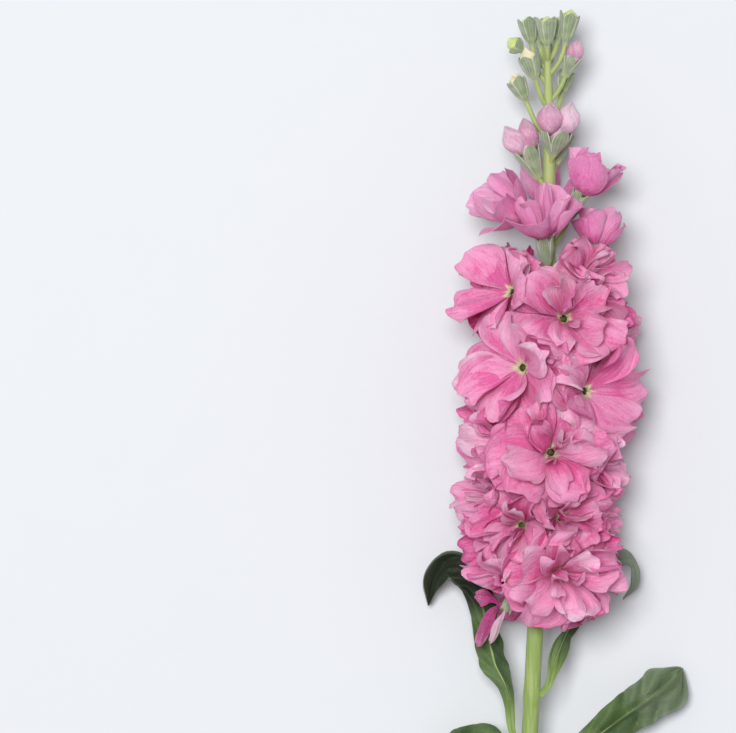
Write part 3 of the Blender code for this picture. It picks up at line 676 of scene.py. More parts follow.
def bloom_kind(flower):
    if flower.kind == "open":
        return "eyed" if flower.name in EYED else "full"
    return flower.kind


def make_bloom(place, materials):
    flower = place.flower
    room = Room(place, EASE[flower.kind], CEILING, TRIMS.get(flower.name))
    random = np.random.default_rng(SEED + FLOWERS.index(flower))
    start = random.uniform(0, 360) + STARTS.get(flower.name, 0)
    more = np.random.default_rng(7000 + FLOWERS.index(flower))
    sheets = Sheets()
    columns, rows = PLAIN_GRID if flower.name in HIDDEN else FINE_GRID
    layers = BLOOMS[bloom_kind(flower)]
    paleness = more.uniform(0, 1)
    for number, layer in enumerate(layers):
        offset = start + (0 if number == 0 else more.uniform(0, 360 / layer.petals))
        for k in range(layer.petals):
            draw = {
                "waves": more.uniform(0.5, 1.2),
                "waves2": more.uniform(1.2, 2.2),
                "phase": more.uniform(0, 2),
                "phase2": more.uniform(0, 2),
                "phase3": more.uniform(0, 6),
                "scallop": more.uniform(2.5, 6),
                "notch": more.uniform(-0.3, 1.0),
                "swirl": more.uniform(-0.45, 0.45),
                "flap": more.uniform(-0.4, 1.0),
                "flap_side": more.choice((-1, 1)),
                "lean": more.uniform(-1.1, 0.7),
                "roll": more.uniform(-10, 24),
                "cup": more.uniform(-0.6, 1.6),
                "crease": more.uniform(-0.9, 1.1),
                "crease_at": more.uniform(-0.5, 0.5),
                "curl": more.uniform(-0.8, 1.6),
                "overlap": more.uniform(8, 26),
                "length": more.uniform(0.86, 1.08),
                "width": more.uniform(0.85, 1.15),
            }
            middle = math.radians(offset + 360 * k / layer.petals + (0 if number == 0 else more.uniform(-14, 14)))
            points = fine_petal(room, layer, middle, draw, columns, rows)
            even = 0.4 if number < 2 else 1.0
            # The tone's second value is the layer. Inner layers are paler in their own colour; the deeper pink of the
            # outer, lower layers is partly painted shade in the recesses that they fill.
            tone = (0.5 + even * more.uniform(-0.5, 0.5), 0.3 * paleness + 0.7 * (3 + 0.5 * number if flower.kind == "opening" else number) / 4)
            sheets.add(points, columns, rows, tone)
    kind = "young_petal" if flower.kind == "opening" else "petal"
    skins = [materials[kind], materials[kind + "_back"]]
    return sheets.piece(flower.name + "_petals", skins, PETAL_SKIN, (flower.name,))


# Withered petals: knots in mm from the mouth (right, tipward, up), half width, roll and fold in degrees, then tone
WILTED = (
    (
        ((0.0, 0.0, 0.0, 0.6, 0, 20), (-3.2, 0.9, 1.2, 0.8, -10, 30), (-6.4, -2.6, 2.0, 3.0, -12, 42),
         (-8.6, -8.6, 1.2, 3.5, -6, 48), (-10.3, -14.2, -0.6, 2.0, 8, 30)),
        (0.75, 0.25),
    ),
    (
        ((0.3, 0.2, 0.6, 0.5, 0, 30), (-0.6, -1.8, 1.5, 1.0, 20, 40), (-2.3, -5.2, 1.5, 2.0, 24, 46),
         (-4.0, -9.4, 0.9, 2.2, 20, 40), (-5.8, -12.8, -0.2, 1.2, 8, 30)),
        (0.20, 2.40),
    ),
    (
        ((0.0, 0.4, 0.2, 0.6, 0, 20), (-3.8, 3.2, 1.6, 0.9, 0, 30), (-6.4, 4.6, 2.4, 3.4, -16, 40),
         (-9.2, 5.4, 1.8, 4.2, -22, 34), (-11.8, 5.6, 0.2, 2.4, -10, 20)),
        (0.90, 0.00),
    ),
)


def make_wilted(place, materials):
    """The withered flower: three folded, crumpled petals that hang from their claws."""
    sheets = Sheets()
    columns, rows = 12, 22
    for number, (knots, tone) in enumerate(WILTED):
        table = np.array(knots)
        table = np.column_stack((np.linspace(0, 1, len(table)), table))
        for at in (1, 2, 3, 4):
            table[:, at] *= MM
        points = []
        for run in np.linspace(0, 1, rows + 1):
            row = smooth_through(table, run)
            ahead = smooth_through(table, min(1, run + 0.02))[:3]
            behind = smooth_through(table, max(0, run - 0.02))[:3]
            tangent = unit(ahead - behind)
            level = unit(np.cross(tangent, (0, 0, 1)))
            over = np.cross(level, tangent)
            roll, fold = math.radians(row[4]), math.radians(row[5])
            side = math.cos(roll) * level + math.sin(roll) * over
            face = np.cross(side, tangent)
            for u in np.linspace(-1, 1, columns + 1):
                bulge = 0.35 * MM * math.sin(5 * u + 9 * run + number) * smooth_step(0.1, 0.4, run)
                rim = 1 + 0.08 * math.sin(7 * u + 2 * number) * smooth_step(0.8, 1, run) - 0.30 * u * u * run**6
                spine = place.mouth + row[:3] + (rim - 1) * 4 * MM * tangent
                out = row[3] * (u * math.cos(fold) * side - abs(u) ** 1.3 * math.sin(fold) * face)
                points.append(spine + out + bulge * face)
        sheets.add(np.array(points), columns, rows, tone)
    skins = [materials["withered_petal"], materials["withered_petal_back"]]
    return sheets.piece(place.flower.name + "_petals", skins, PETAL_SKIN, (place.flower.name,))


def carried_frames(points):
    """Along a line: unit tangents and a pair of sides that turn no more than they must."""
    points = np.asarray(points, float)
    tangents = np.gradient(points, axis=0)
    tangents /= np.linalg.norm(tangents, axis=1)[:, None]
    side = unit(np.cross(tangents[0], (0.31, 0.17, 0.93)))
    sides = []
    for tangent in tangents:
        side = unit(side - (side @ tangent) * tangent)
        sides.append(side)
    sides = np.array(sides)
    return tangents, sides, np.cross(tangents, sides)


def add_tube(sheets, points, radii, sides, draw, slot=0, ribs=0, rib_depth=0.0, flat_start=False):
    """A closed tube along the points."""
    points = np.asarray(points, float)
    radii = np.asarray(radii, float)
    _, one, two = carried_frames(points)
    turns = np.arange(sides) * 2 * math.pi / sides
    shape = 1 + rib_depth * np.cos(ribs * turns)
    ring = np.cos(turns)[None, :, None] * one[:, None, :] + np.sin(turns)[None, :, None] * two[:, None, :]
    grid_points = points[:, None, :] + ring * (radii[:, None] * shape[None, :])[:, :, None]
    sheets.add(grid_points.reshape(-1, 3), sides, len(points) - 1, draw, slot, closed=True)
    sheets.cap(len(points) * sides, sides, True, draw, slot)
    sheets.cap(sides, sides, False, draw, slot)


def resampled(points, radii, count):
    """The line and its radii at this many even steps, on a smooth curve through them."""
    points = np.asarray(points, float)
    run = np.concatenate(([0], np.cumsum(np.linalg.norm(np.diff(points, axis=0), axis=1))))
    knots = np.column_stack((run / run[-1], points, radii))
    rows = np.array([smooth_through(knots, at) for at in np.linspace(0, 1, count)])
    return rows[:, :3], np.maximum(rows[:, 3], 0.05 * MM)


def add_sepal(sheets, place, turn, profile, rise, flare, draw, spread=46, blunt=False, slot=0):
    """One of a calyx's four sepals: profile is (distance back from the mouth, radius), from the base on."""
    columns, rows = 8, 14
    backs = np.array([back for back, _ in profile]) * -MM
    wide = np.array([radius for _, radius in profile]) * MM
    backs = np.append(backs, rise)
    wide = np.append(wide, wide[-1] + flare)
    order = np.argsort(backs)
    points = []
    for v in np.linspace(0, 1, rows + 1):
        back = backs[0] + (rise - backs[0]) * v
        radius = np.interp(back, backs[order], wide[order]) + 0.15 * MM
        if blunt:
            narrow = math.sqrt(max(0.0, 1 - (v / 1.02) ** 8))
        else:
            narrow = math.sqrt(max(0.0, 1 - v**3.2))
        for u in np.linspace(-1, 1, columns + 1):
            angle = turn + math.radians(spread) * u * max(narrow, 0.05)
            lip = 0.22 * MM * (1 - abs(u)) + 0.10 * MM * math.cos(3 * math.pi * u)
            away = math.cos(angle) * place.tipward + math.sin(angle) * place.aside
            points.append(place.mouth + back * place.facing + (radius + lip) * away)
    sheets.add(np.array(points), columns, rows, draw, slot)


def add_lobe(sheets, centre, top, side, length, radius, draw, random, wraps=3, ragged=0.10):
    """A bud's folded petals: an egg whose surface steps where one petal's edge wraps over the next."""
    sides, rows = 36, 20
    over = np.cross(top, side)
    phase = random.uniform(0, 2 * math.pi)
    peaks = random.uniform(-ragged, ragged, wraps)
    points = []
    starts = [[] for _ in range(rows + 1)]
    for j in range(rows + 1):
        pitch = math.pi * (j / rows - 0.5)
        z = math.sin(pitch)
        slim = 1 - 0.24 * max(z, 0) ** 2 - 0.30 * max(-z, 0) ** 2
        for i in range(sides):
            angle = 2 * math.pi * i / sides
            wrap = (wraps * (angle - phase + 0.9 * z) / (2 * math.pi)) % wraps
            petal, wrap = int(wrap) % wraps, wrap % 1
            starts[j].append(wrap)
            step = 0.15 * (wrap - 0.5) * math.cos(pitch) ** 0.5
            crease = 0.028 * math.sin(9 * angle + 5 * z + phase) * math.cos(pitch)
            lump = 0.055 * math.sin(2 * angle + 3.5 * z + 2 * phase) * math.cos(pitch)
            rise = z + max(z, 0) ** 2 * (peaks[petal] - 0.16 * (2 * wrap - 1) ** 2) + 0.10 * max(z, 0) ** 8
            r = radius * slim * max(math.cos(pitch), 0.03) ** (1.0 if z < 0 else 1.15) * (1 + step + crease + lump)
            points.append(centre + length * rise * top + r * (math.cos(angle) * side + math.sin(angle) * over))
    sheets.add(np.array(points), sides, rows, draw, closed=True, starts=starts, step=wraps / sides)
    sheets.cap((rows + 1) * sides, sides, True, draw)
    sheets.cap(sides, sides, False, draw)


SQUAT_BUDS = {"pink_bud_2": 0.84}


def make_pink_bud(place, materials):
    flower = place.flower
    random = np.random.default_rng(7300 + FLOWERS.index(flower))
    lobes, first = BUD_LOBES[flower.name]
    sheets = Sheets()
    neck = [place.mouth + height * MM * place.facing for height in (-1.0, 2.0, 4.0)]
    add_tube(sheets, neck, np.array((2.2, 2.6, 1.6)) * MM, 16, (0.2, 0.9))
    for k in range(lobes):
        turn = math.radians(first + 360 * k / lobes)
        away = math.cos(turn) * place.tipward + math.sin(turn) * place.aside
        radius = flower.size * (0.70 if lobes == 1 else 0.66)
        lean = 0 if lobes == 1 else 0.50 * flower.size
        top = unit(place.facing + 0.12 * away) if lobes > 1 else place.facing
        side = unit(np.cross(top, away + 0.01 * place.tipward))
        tall = flower.size * SQUAT_BUDS.get(flower.name, 1.0)
        rise = 0.95 * tall + 1.2 * MM if lobes > 1 else 0.85 * tall + 0.4 * MM
        centre = place.mouth + rise * place.facing + lean * away
        add_lobe(sheets, centre, top, side, tall, radius, (random.uniform(0, 1), 0.5), random)
    return sheets.piece(flower.name + "_petals", [materials["bud_petal"]], 0, (flower.name,))


SEPAL_TIPS = {"bud": (3.4 * MM, 0.5 * MM), "opening": (3.0 * MM, 1.0 * MM)}
BUD_CONE = ((10.0, 1.0), (8.0, 1.8), (4.0, 3.3), (0.0, 4.5))


def make_stem_pieces(materials):
    """The main stem, its pedicels, calyces and green buds."""
    along = np.linspace(0, STEM_LENGTH, 150)
    points = np.array([axis_point(a) for a in along])
    radii = np.array([stem_radius(a) for a in along])
    for name in LEAVES:
        base = LEAVES[name][0][0]
        radii = radii + 0.35 * MM * np.exp(-(((along - base) / (3 * MM)) ** 2))
    sheets = Sheets()
    add_tube(sheets, points, radii, 30, (0.5, 0.5), ribs=5, rib_depth=0.03)
    sheets.slots[-2] = 1
    sheets.piece("stem_main", [materials["stem"], materials["cut_end"]], 0, ("stem",))

    pedicels = Sheets()
    calyces = Sheets()
    buds = Sheets()
    for index, place in enumerate(PLACES):
        random = np.random.default_rng(7600 + index)
        kind = place.flower.kind
        line = place.pedicel(16)
        stations = CALYCES[kind]
        grown = 1.0
        if kind == "bud":
            grown = place.flower.size / ((6.2 if BUD_LOBES[place.flower.name][0] > 1 else 7.4) * MM)
            short = min(grown, 1) if BUD_LOBES[place.flower.name][0] == 1 else 1
            stations = [(short * back, radius * grown) for back, radius in stations]
        longest = 0.62 * np.linalg.norm(place.mouth - line[0])
        squeeze = min(1, longest / (stations[0][0] * MM))
        base = place.mouth - squeeze * stations[0][0] * MM * place.facing
        stop = [p for p in line if (base - p) @ place.facing > 1 * MM]
        route = stop + [base, base + 1.5 * MM * place.facing]
        if len(route) < 3:
            route = [line[0], (line[0] + base) / 2, base + 1 * MM * place.facing]
        widths = np.full(len(route), 0.95 * MM)
        widths[0] = 1.5 * MM
        smooth_route, smooth_width = resampled(route, widths, 18)
        add_tube(pedicels, smooth_route, smooth_width, 12, (random.uniform(0, 1), 0.5))
        profile = [(squeeze * back, radius) for back, radius in stations]
        body = [place.mouth - back * MM * place.facing for back, _ in profile]
        if kind == "green":
            make_green_bud(place, buds, calyces, random)
            continue
        fine_body, fine_width = resampled(body, [radius * MM for _, radius in profile], 10)
        add_tube(calyces, fine_body, 0.97 * fine_width, 16, (random.uniform(0, 1), 0.1))
        rise, flare = SEPAL_TIPS.get(kind, (0.8 * MM, 0.2 * MM))
        if kind == "bud":
            rise *= grown
            cone = [(short * back, radius) for back, radius in BUD_CONE]
            profile = [(squeeze * back, radius * (grown if back < 5 else 1)) for back, radius in cone]
        for k in range(4):
            turn = math.radians(90 * k)
            add_sepal(calyces, place, turn, profile, rise, flare, (random.uniform(0, 1), 0.6))
    pedicels.piece("pedicels", [materials["stem"]], 0)
    calyces.piece("calyces", [materials["felt"]], 0.22 * MM)
    buds.piece("green_bud_petals", [materials["young_bud"]], 0)


# Each green bud's height and width as shares of its size, how much of its petals shows, and their tone
GREEN_SHAPES = {
    "green_bud_1": (1.60, 0.78, 0.85, 0.10),
    "green_bud_2": (2.00, 0.66, 0.30, 0.95),
    "green_bud_3": (2.00, 0.60, 0.34, 0.90),
    "green_bud_4": (1.75, 0.56, 0.06, 0.30),
    "green_bud_5": (1.72, 0.58, 0.06, 0.30),
    "green_bud_6": (2.10, 0.56, 0.16, 0.20),
}


def make_green_bud(place, buds, calyces, random):
    """A green bud: four ribbed, felted sepals round a small ball of petals."""
    size = place.flower.size
    tall, wide, showing, tone = GREEN_SHAPES.get(place.flower.name, (1.8, 0.56, 0.06, 0.3))
    tall *= size
    shares = ((0.0, 0.24), (0.12, 0.52), (0.35, 0.80), (0.65, 0.98), (0.88, 1.02), (1.0, 0.98))
    top = tall * (1 - 0.5 * showing)
    columns, rows = 8, 16
    for k in range(4):
        turn = math.radians(90 * k + 20)
        tip_flare = random.uniform(0.02, 0.22)
        reach = random.uniform(0.93, 1.05)
        points = []
        for v in np.linspace(0, 1, rows + 1):
            radius = wide * size * np.interp(v, [a for a, _ in shares], [b for _, b in shares])
            narrow = math.sqrt(max(0.0, 1 - (v / 1.01) ** 7))
            for u in np.linspace(-1, 1, columns + 1):
                angle = turn + math.radians(50) * u * max(narrow, 0.32)
                lip = 0.05 * size * math.cos(math.pi * u / 2) + 0.022 * size * math.cos(4 * math.pi * u)
                droop = -0.12 * size * u * u * v**5
                away = math.cos(angle) * place.tipward + math.sin(angle) * place.aside
                out = radius + lip + size * tip_flare * (v**6 - 0.6 * v**14)
                points.append(place.mouth + (v * top * reach + droop) * place.facing + out * away)
        calyces.add(np.array(points), columns, rows, (random.uniform(0, 1), 0.6))
    ball = wide * size * 0.92
    centre = place.mouth + (tall - ball) * place.facing
    wraps, ragged = (5, 0.30) if tone > 0.8 else (3, 0.10)
    add_lobe(buds, centre, place.facing, place.tipward, ball, ball, (random.uniform(0, 1), tone), random, wraps, ragged)
    neck = [place.mouth + a * place.facing for a in (-1.5 * MM, 0.0, 0.3 * size, 0.7 * size)]
    add_tube(calyces, neck, (1.0 * MM, 1.2 * MM, 0.34 * size, 0.42 * size), 14, (0.5, 0.3))


LEAF_COLUMNS = 14
LEAF_ROWS = 96
LEAF_SKIN = 0.55 * MM
LEAF_RIDGE, RIDGE_AT = 0.34, 0.30  # a lengthwise fold in the broad right leaf
LEAF_PUCKER = {"leaf_3": 0.17, "leaf_4": 0.24}
LEAF_ENDS = {"leaf_1": 0.0, "leaf_2": 1.0, "leaf_3": 0.78}  # 0 where a leaf's far part is painted near black as shade, and 1 where it shows its grey back


def fine_leaf(name):
    knots = leaf_knots(name)
    number = list(LEAVES).index(name)
    (along_stem, turn_stem), *_ = LEAVES[name]
    inward = -outward_at(along_stem, turn_stem)
    points = []
    for run in np.linspace(0, 1, LEAF_ROWS + 1):
        row = smooth_through(knots, run)
        tangent = unit(smooth_through(knots, run + 0.01)[:3] - smooth_through(knots, run - 0.01)[:3])
        level = unit(np.cross(tangent, (0, 0, 1)))
        over = np.cross(level, tangent)
        roll = math.radians(row[4])
        side = math.cos(roll) * level + math.sin(roll) * over
        face = np.cross(side, tangent)
        width = row[3] * math.sqrt(max(0.02, 1 - max(0, (run - 0.88) / 0.12) ** 2))
        base = row[:3] + inward * 1.3 * MM * max(0, 1 - run / 0.05)
        for across in np.linspace(-1, 1, LEAF_COLUMNS + 1):
            wave = math.sin(2 * math.pi * (2.6 * run + 0.31 * number + 0.25 * (across > 0)))
            fine = 0.35 * math.sin(2 * math.pi * (6.3 * run + 0.57 * number + 0.4 * (across > 0)))
            lift = row[3] * (LEAF_FOLD * abs(across) + LEAF_WAVE * across * across * (wave + fine) * min(1, 4 * run))
            rough = LEAF_PUCKER.get(name, 0.20)
            pucker = rough * math.sin(2 * math.pi * (6.5 * run + 0.9 * across + 0.2 * math.sin(17 * run)))
            lift += row[3] * pucker * math.sin(math.pi * min(0.5, abs(across) * 0.8)) * min(1, 5 * run)
            if name == "leaf_3":
                lift += LEAF_RIDGE * row[3] * smooth_step(0.25, 0.6, run) * (
                    math.exp(-(((across - RIDGE_AT) / 0.22) ** 2)) - 0.8 * math.exp(-(((across - RIDGE_AT + 0.4) / 0.16) ** 2))
                )
            lift *= width / row[3]
            groove = -0.30 * MM * math.exp(-((across / 0.10) ** 2)) + 0.10 * MM * math.exp(-(((abs(across) - 0.25) / 0.12) ** 2))
            edge = 1 + 0.22 * rough * math.sin(41 * run + 3 * across) * (run > 0.1)
            points.append(base + across * width * edge * side + (lift + groove) * face)
    return np.array(points)


def make_leaf_piece(name, materials):
    sheets = Sheets()
    number = list(LEAVES).index(name)
    sheets.add(fine_leaf(name), LEAF_COLUMNS, LEAF_ROWS, (0.13 * number, LEAF_ENDS.get(name, 0.5)))
    return sheets.piece(name + "_blade", [materials["leaf"]], LEAF_SKIN, (name,))


# Materials

def node_material(name):
    made = bpy.data.materials.new(name)
    made.use_nodes = True
    return made, made.node_tree.nodes, made.node_tree.links, made.node_tree.nodes["Principled BSDF"]


class Graph:
    """Small helpers that add and link nodes."""

    def __init__(self, name):
        self.made, self.nodes, self.links, self.shader = node_material(name)

    def node(self, kind, inputs=None, **settings):
        made = self.nodes.new("ShaderNode" + kind)
        for key, value in settings.items():
            setattr(made, key, value)
        for key, value in (inputs or {}).items():
            self.feed(made.inputs[key], value)
        return made

    def feed(self, socket, value):
        if isinstance(value, bpy.types.NodeSocket):
            self.links.new(value, socket)
        else:
            socket.default_value = value

    def math(self, operation, one, two=0.0, clamp=False):
        made = self.node("Math", operation=operation, use_clamp=clamp)
        self.feed(made.inputs[0], one)
        self.feed(made.inputs[1], two)
        return made.outputs[0]

    def between(self, value, low, high, start=0.0, end=1.0):
        made = self.node("MapRange", {"Value": value, "From Min": low, "From Max": high, "To Min": start, "To Max": end}, interpolation_type="SMOOTHSTEP")
        return made.outputs["Result"]

    def mix(self, share, one, two, kind="MIX"):
        made = self.node("Mix", data_type="RGBA", blend_type=kind)
        self.feed(made.inputs[0], share)
        self.feed(made.inputs[6], one)
        self.feed(made.inputs[7], two)
        return made.outputs[2]

    def uv(self, name):
        split = self.node("SeparateXYZ", {"Vector": self.node("UVMap", uv_map=name).outputs["UV"]})
        return split.outputs["X"], split.outputs["Y"]

    def noise(self, scale, detail=3.0, rough=0.55, vector=None, distortion=0.0):
        made = self.node("TexNoise", {"Scale": scale, "Detail": detail, "Roughness": rough, "Distortion": distortion})
        self.feed(made.inputs["Vector"], vector or self.node("TexCoord").outputs["Object"])
        return made.outputs["Fac"]

    def bump(self, height, distance, strength=1.0, after=None):
        made = self.node("Bump", {"Height": height, "Distance": distance, "Strength": strength})
        if after is not None:
            self.feed(made.inputs["Normal"], after)
        return made.outputs["Normal"]


def petal_material(name, deep, mid, pale, claw, claw_reach, vein_depth):
    """Petal: streaked deep pink, paler towards the rim, fine branching veins, a creamy claw and long wrinkles, with
    painted shade: deeper pink on the outer, lower layers, a thin deep line along the rim, and olive at the claw's foot.
    """
    g = Graph(name)
    u, v = g.uv("place")
    draw, layer = g.uv("draw")
    from_middle = g.math("ABSOLUTE", g.math("SUBTRACT", u, 0.5))
    spread = g.math("ADD", v, 0.25)
    aside = g.math("MULTIPLY", g.math("SUBTRACT", u, 0.5), spread)
    sheet = g.node("CombineXYZ", {"X": g.math("MULTIPLY", aside, 9.0), "Y": g.math("MULTIPLY", v, 1.3), "Z": g.math("MULTIPLY", draw, 37.0)})
    streaks = g.noise(1.6, 4.0, 0.6, vector=sheet.outputs["Vector"])
    wrinkles = g.noise(3.6, 4.0, 0.62, vector=sheet.outputs["Vector"], distortion=0.5)
    patches = g.noise(110.0, 2.0)
    light = g.math("ADD", g.math("MULTIPLY", g.between(v, 0.25, 1.0), 0.32), 0.07)
    light = g.math("ADD", light, g.math("MULTIPLY", g.between(from_middle, 0.25, 0.5), 0.14))
    light = g.math("ADD", light, g.math("MULTIPLY", g.math("SUBTRACT", patches, 0.5), 0.8))
    light = g.math("ADD", light, g.math("MULTIPLY", g.math("SUBTRACT", streaks, 0.5), 0.72))
    light = g.math("ADD", light, g.math("MULTIPLY", g.math("SUBTRACT", draw, 0.5), 0.36))
    light = g.math("ADD", light, g.math("MULTIPLY", g.math("SUBTRACT", g.noise(1300.0, 3.0), 0.5), 0.5))
    # Paler on inner layers, deeper on outer, lower ones: partly the petals' own colour, partly painted shade where the
    # lower layers lie in the flower's recesses.
    light = g.math("ADD", light, g.math("SUBTRACT", g.math("MULTIPLY", layer, 0.38), 0.06), clamp=True)
    colour = g.mix(g.between(light, 0.0, 0.5), (*deep, 1), (*mid, 1))
    colour = g.mix(g.between(light, 0.45, 1.0), colour, (*pale, 1))
    wander = g.math("MULTIPLY", g.noise(240.0, 2.0), 0.09)
    fine = g.math("ABSOLUTE", g.math("SINE", g.math("MULTIPLY", g.math("ADD", u, wander), 62.0)))
    branch = g.math("ABSOLUTE", g.math("SINE", g.math("MULTIPLY", g.math("ADD", u, g.math("MULTIPLY", wander, 1.8)), 23.0)))
    vein = g.math("MAXIMUM", g.between(fine, 0.22, 0.0, 0.0, 0.6), g.between(branch, 0.10, 0.0))
    vein = g.math("MULTIPLY", vein, g.between(v, 1.0, 0.55))
    colour = g.mix(g.math("MULTIPLY", vein, 0.62 * vein_depth), colour, (*deep, 1))
    # Painted shade: a thin line along the petal's rim is mixed towards deep pink, the darker edge of a petal seen
    # side-on.
    rim = g.math("MAXIMUM", g.between(from_middle, 0.465, 0.5), g.between(v, 0.970, 1.0))
    colour = g.mix(g.math("MULTIPLY", rim, 0.42), colour, (*deep, 1))
    ragged = g.math("MULTIPLY", g.math("SUBTRACT", wrinkles, 0.5), 0.30)
    near = g.math("ADD", g.math("SUBTRACT", v, ragged), g.math("MULTIPLY", from_middle, 0.16))
    colour = g.mix(g.between(near, claw_reach, 0.45 * claw_reach), colour, (*claw, 1))
    # Olive at the very foot of the claw: partly the claw's own colour, partly painted shade where the petal goes down
    # into the flower's throat.
    colour = g.mix(g.between(near, 0.06, 0.0, 0.0, 0.8), colour, (0.16, 0.17, 0.03, 1))
    g.feed(g.shader.inputs["Base Color"], colour)
    crinkle = g.noise(900.0, 4.0, 0.6, distortion=0.6)
    first = g.bump(crinkle, 0.00025, 0.5)
    second = g.bump(wrinkles, 0.0015, 0.7, first)
    third = g.bump(vein, 0.0001, -0.5, second)
    g.feed(g.shader.inputs["Normal"], third)
    g.feed(g.shader.inputs["Roughness"], g.between(crinkle, 0.3, 0.7, 0.50, 0.66))
    g.shader.inputs["Specular IOR Level"].default_value = 0.22
    g.shader.inputs["Subsurface Weight"].default_value = 0.14
    g.shader.inputs["Subsurface Radius"].default_value = (1.0, 0.30, 0.45)
    g.shader.inputs["Subsurface Scale"].default_value = 0.0018
    return g.made


def stem_material():
    """Stem: yellow-green low down, paler above, with long fine streaks and a faint bloom."""
    g = Graph("stem_skin")
    coords = g.node("TexCoord").outputs["Object"]
    split = g.node("SeparateXYZ", {"Vector": coords})
    height = g.between(split.outputs["Y"], -0.10, 0.20)
    streaks = g.node("Mapping", {"Vector": coords, "Scale": (1.0, 0.05, 1.0)}).outputs["Vector"]
    lines = g.noise(900.0, 4.0, 0.6, vector=streaks)
    cloud = g.noise(70.0, 3.0)
    colour = g.mix(height, (0.225, 0.340, 0.070, 1), (0.40, 0.47, 0.18, 1))
    colour = g.mix(g.between(lines, 0.40, 0.62, 0.0, 0.50), colour, (0.44, 0.52, 0.21, 1))
    colour = g.mix(g.between(cloud, 0.35, 0.75, 0.0, 0.35), colour, (0.22, 0.33, 0.075, 1))
    g.feed(g.shader.inputs["Base Color"], colour)
    fuzz = g.noise(4200.0, 2.0)
    g.feed(g.shader.inputs["Normal"], g.bump(fuzz, 0.00008, 0.5, g.bump(lines, 0.0003, 0.6)))
    g.feed(g.shader.inputs["Roughness"], g.between(lines, 0.3, 0.7, 0.42, 0.58))
    g.shader.inputs["Specular IOR Level"].default_value = 0.4
    g.shader.inputs["Sheen Weight"].default_value = 0.10
    g.shader.inputs["Subsurface Weight"].default_value = 0.2
    g.shader.inputs["Subsurface Radius"].default_value = (0.6, 1.0, 0.3)
    g.shader.inputs["Subsurface Scale"].default_value = 0.002
    return g.made


def cut_end_material():
    """The cut end: pale moist pith inside a ring of strands."""
    g = Graph("stem_cut")
    coords = g.node("TexCoord").outputs["Object"]
    pores = g.node("TexVoronoi", {"Vector": coords, "Scale": 2600.0}).outputs["Distance"]
    colour = g.mix(g.between(pores, 0.1, 0.5), (0.34, 0.42, 0.16, 1), (0.66, 0.70, 0.44, 1))
    colour = g.mix(g.between(g.noise(500.0), 0.45, 0.75, 0.0, 0.5), colour, (0.42, 0.34, 0.16, 1))
    g.feed(g.shader.inputs["Base Color"], colour)
    g.feed(g.shader.inputs["Normal"], g.bump(pores, 0.0003, 0.6))
    g.shader.inputs["Roughness"].default_value = 0.45
    return g.made


def felt_material():
    """Sepals: grey-green felt, greener along each rib, pale at the margins and yellow-green at the base."""
    g = Graph("sepal_felt")
    u, v = g.uv("place")
    draw, tone = g.uv("draw")
    from_middle = g.math("ABSOLUTE", g.math("SUBTRACT", u, 0.5))
    ribs = g.math("ABSOLUTE", g.math("SINE", g.math("MULTIPLY", g.math("ADD", u, g.math("MULTIPLY", g.noise(300.0), 0.05)), 15.7)))
    cloud = g.noise(260.0, 3.0)
    hairs = g.noise(3800.0, 3.0, 0.7)
    colour = g.mix(g.between(cloud, 0.35, 0.7), (0.20, 0.27, 0.14, 1), (0.32, 0.38, 0.24, 1))
    colour = g.mix(g.between(ribs, 0.45, 0.0, 0.0, 0.55), colour, (0.50, 0.55, 0.40, 1))
    colour = g.mix(g.between(from_middle, 0.40, 0.5, 0.0, 0.75), colour, (0.62, 0.66, 0.50, 1))
    colour = g.mix(g.between(v, 0.30, 0.0, 0.0, 0.8), colour, (0.42, 0.50, 0.20, 1))
    colour = g.mix(g.between(hairs, 0.55, 0.80, 0.0, 0.45), colour, (0.66, 0.70, 0.60, 1))
    g.feed(g.shader.inputs["Base Color"], colour)
    g.feed(g.shader.inputs["Normal"], g.bump(hairs, 0.00015, 0.7, g.bump(ribs, 0.0002, 0.5)))
    g.shader.inputs["Roughness"].default_value = 0.85
    g.shader.inputs["Specular IOR Level"].default_value = 0.2
    g.shader.inputs["Sheen Weight"].default_value = 0.5
    g.shader.inputs["Sheen Roughness"].default_value = 0.6
    return g.made


def young_bud_material():
    """Petals that are still green: yellow-green, or cream where the bud has begun to colour."""
    g = Graph("young_bud_skin")
    u, v = g.uv("place")
    draw, tone = g.uv("draw")
    colour = g.mix(g.between(tone, 0.3, 0.8), (0.55, 0.66, 0.22, 1), (0.80, 0.70, 0.50, 1))
    colour = g.mix(g.between(g.noise(500.0), 0.4, 0.7, 0.0, 0.5), colour, (0.72, 0.80, 0.42, 1))
    colour = g.mix(g.between(v, 0.75, 1.0, 0.0, 0.5), colour, (0.84, 0.86, 0.62, 1))
    g.feed(g.shader.inputs["Base Color"], colour)
    g.feed(g.shader.inputs["Normal"], g.bump(g.noise(1500.0, 3.0), 0.0002, 0.5))
    g.shader.inputs["Roughness"].default_value = 0.6
    g.shader.inputs["Subsurface Weight"].default_value = 0.25
    g.shader.inputs["Subsurface Radius"].default_value = (0.8, 1.0, 0.4)
    g.shader.inputs["Subsurface Scale"].default_value = 0.0015
    return g.made


